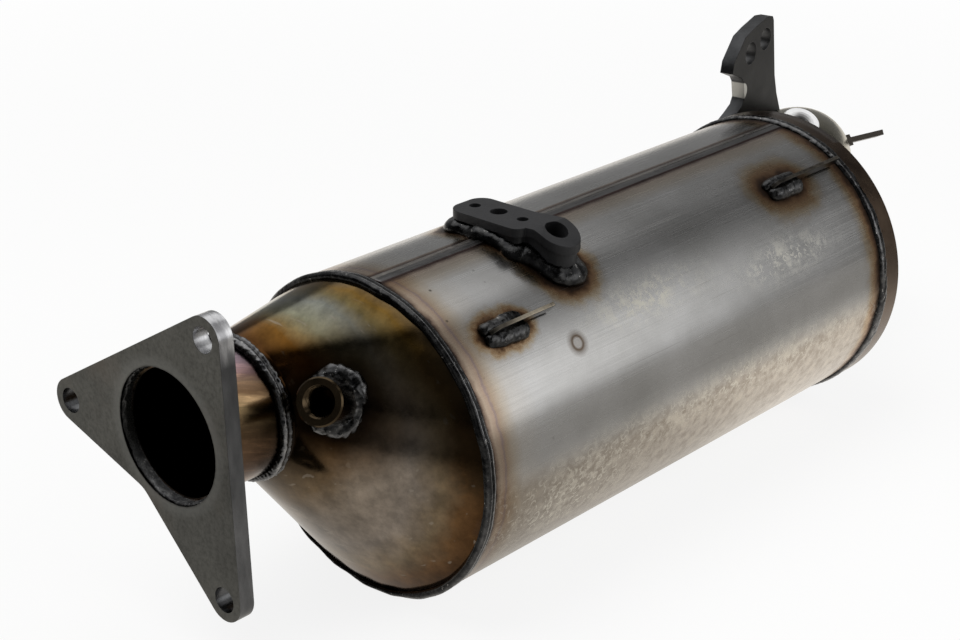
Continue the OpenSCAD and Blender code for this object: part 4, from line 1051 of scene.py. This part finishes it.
def floor():
    """A level square, z = FLOOR_Z: white to the camera with a soft shadow that fades with distance. In
    reflections it is a warm grey, dark ahead of the flange and beside the canister, paler behind, with
    a pale patch on the far left."""
    finish, net, feed = metal("pale_paper")
    feed(Base_Color=(0.8, 0.8, 0.79, 1), Roughness=0.9, Metallic=0.0)
    ray, where = net.add("LightPath").outputs, net.place()
    part = net.parts(where)
    ahead = net.span(part["X"], -0.17, -0.02, 0.1, 0.72, soft=True)
    behind = net.times(ahead, net.span(part["X"], 0.28, 0.38, 1.0, 1.6))
    beside = net.span(part["Y"], -0.26, -0.13, soft=True)
    level = net.math("MULTIPLY_ADD", net.math("SUBTRACT", behind, 0.3), beside,
                     net.math("MINIMUM", ahead, 0.3))
    left = net.times(net.span(part["X"], -0.03, -0.15, soft=True),
                     net.span(part["Y"], 0.06, 0.2, 0.0, 0.8))
    level = net.math("MAXIMUM", level, left)
    # The camera sees a level of exactly 1, which is white
    shade = net.mix(ray["Is Camera Ray"], (1.0, 0.955, 0.89), WHITE)
    level = net.math("MULTIPLY_ADD", net.math("SUBTRACT", 1.0, level), ray["Is Camera Ray"], level)
    glow = net.add("Emission", {"Color": shade, "Strength": level}).outputs[0]
    glossy = net.math("MAXIMUM", ray["Is Glossy Ray"], ray["Is Transmission Ray"])
    away = net.vector("DISTANCE", where, (0.25, 0.0, FLOOR_Z * MM))
    white = net.times(ray["Is Camera Ray"], net.span(away, 0.5, 1.3, 0.86, 1.0))
    seen = net.math("MAXIMUM", white, net.times(glossy, 0.85))
    lit = finish.node_tree.nodes["Principled BSDF"].outputs[0]
    blend = net.add("MixShader", {0: seen, 1: lit, 2: glow})
    net.fill(finish.node_tree.nodes["Material Output"], {"Surface": blend.outputs[0]})
    side = np.array([-FLOOR_HALF, FLOOR_HALF])
    staged("floor", np.stack(np.broadcast_arrays(side[None, :], side[:, None], FLOOR_Z), -1), finish)


def tent():
    """A ball of cloth, radius times (cos lat cos lon, cos lat sin lon, sin lat), that shows only in
    reflections. Its glow by direction is a bright roof panel in X/Z and Y/Z, a soft box on the right
    with a strip over it, three dim soft walls and dark cloth elsewhere."""
    finish, net, _ = metal("tent_cloth")
    way = net.vector("NORMALIZE", net.add("TexCoord").outputs["Object"])
    part = net.parts(way)
    x, y, z = (part[k] for k in "XYZ")
    level = net.vector("NORMALIZE", net.vector("MULTIPLY", way, (1, 1, 0)))
    tall = net.math("MAXIMUM", z, 0.05)
    east, north = (net.math("DIVIDE", side, tall) for side in (x, y))

    def toward(spot, direction, low, high):
        """A mask round a direction: a soft step of the cosine of the angle to it."""
        return net.span(net.vector("DOT_PRODUCT", spot, direction), low, high, soft=True)

    def panel(*edges):
        """A mask inside several edges: the product of a soft step over each."""
        total = net.span(*edges[0], soft=True)
        for edge in edges[1:]:
            total = net.times(total, net.span(*edge, soft=True))
        return total

    roof = panel((east, -0.85, -0.5), (east, 1.06, 0.90), (north, -0.25, 0.0), (north, 1.6, 1.1),
                 (z, 0.05, 0.2))
    box = net.times(toward(level, (0.9, -0.43, 0), 0.25, 0.55),
                    panel((z, -0.14, 0.12), (z, 0.70, 0.34), (x, 0.815, 0.735), (y, -0.05, -0.3)))
    strip = panel((x, 0.70, 0.63), (z, 0.45, 0.58), (z, 0.88, 0.78), (y, 0.05, -0.1), (y, -0.66, -0.5),
                  (x, 0.2, 0.35))
    total = 0.03
    for mask, strength in (
            (roof, 0.95), (box, 1.25), (strip, 0.6),
            (toward(way, (-0.81, -0.40, 0.43), 0.86, 0.995), 0.11),
            (toward(way, (0.6, 0.8, 0.0), 0.2, 0.9), 0.18),
            (toward(way, (1.0, 0.0, 0.0), -0.1, 0.6), 0.04)):
        total = net.moved(total, mask, strength)
    glow = net.add("Emission", {"Color": (1, 1, 1, 1), "Strength": total}).outputs[0]
    net.fill(finish.node_tree.nodes["Material Output"], {"Surface": glow})
    finish.cycles.emission_sampling = "NONE"
    lat, lon = np.linspace(-pi / 2, pi / 2, 25)[:, None], np.linspace(0, 2 * pi, 49)[None, :]
    ball = [np.cos(lat) * np.cos(lon), np.cos(lat) * np.sin(lon), np.sin(lat)]
    cloth = staged("tent", TENT_R * np.stack(np.broadcast_arrays(*ball), -1), finish)
    cloth.visible_camera = cloth.visible_diffuse = False
    cloth.visible_shadow = cloth.visible_transmission = False


def surroundings():
    """White all round for what the camera and reflections see, and a soft grey light otherwise."""
    world = bpy.data.worlds.new("studio")
    scene.world = world
    world.use_nodes = True
    net = Net(world.node_tree)
    ray = net.add("LightPath").outputs
    seen = net.math("MAXIMUM", ray["Is Glossy Ray"], ray["Is Transmission Ray"])
    seen = net.math("MAXIMUM", ray["Is Camera Ray"], seen)
    net.fill(world.node_tree.nodes["Background"],
             {"Color": (1, 1, 1, 1), "Strength": net.span(seen, 0, 1, 0.35, 1.0)})


def lamp(name, place, target, size, power):
    """A soft box at a place in metres, turned to its target. Its mirror image is the tent's."""
    light = bpy.data.lights.new(name, "AREA")
    light.shape, light.size, light.size_y, light.energy = "RECTANGLE", size[0], size[1], power
    box = bpy.data.objects.new(name, light)
    scene.collection.objects.link(box)
    place = np.array(place)
    away = unit(place - target)
    flat = unit(np.cross((0, 0, 1), away))
    box.matrix_world = stand_at(place, flat, np.cross(away, flat), away)
    box.visible_glossy = False


floor()
tent()
surroundings()
lamp("roof_lamp", (-0.15, 0.25, 1.3), (0.2, 0, 0), (1.2, 1.0), 16)
lamp("side_lamp", (1.1, -1.2, 0.7), (0.25, 0, 0), (1.3, 0.8), 14)
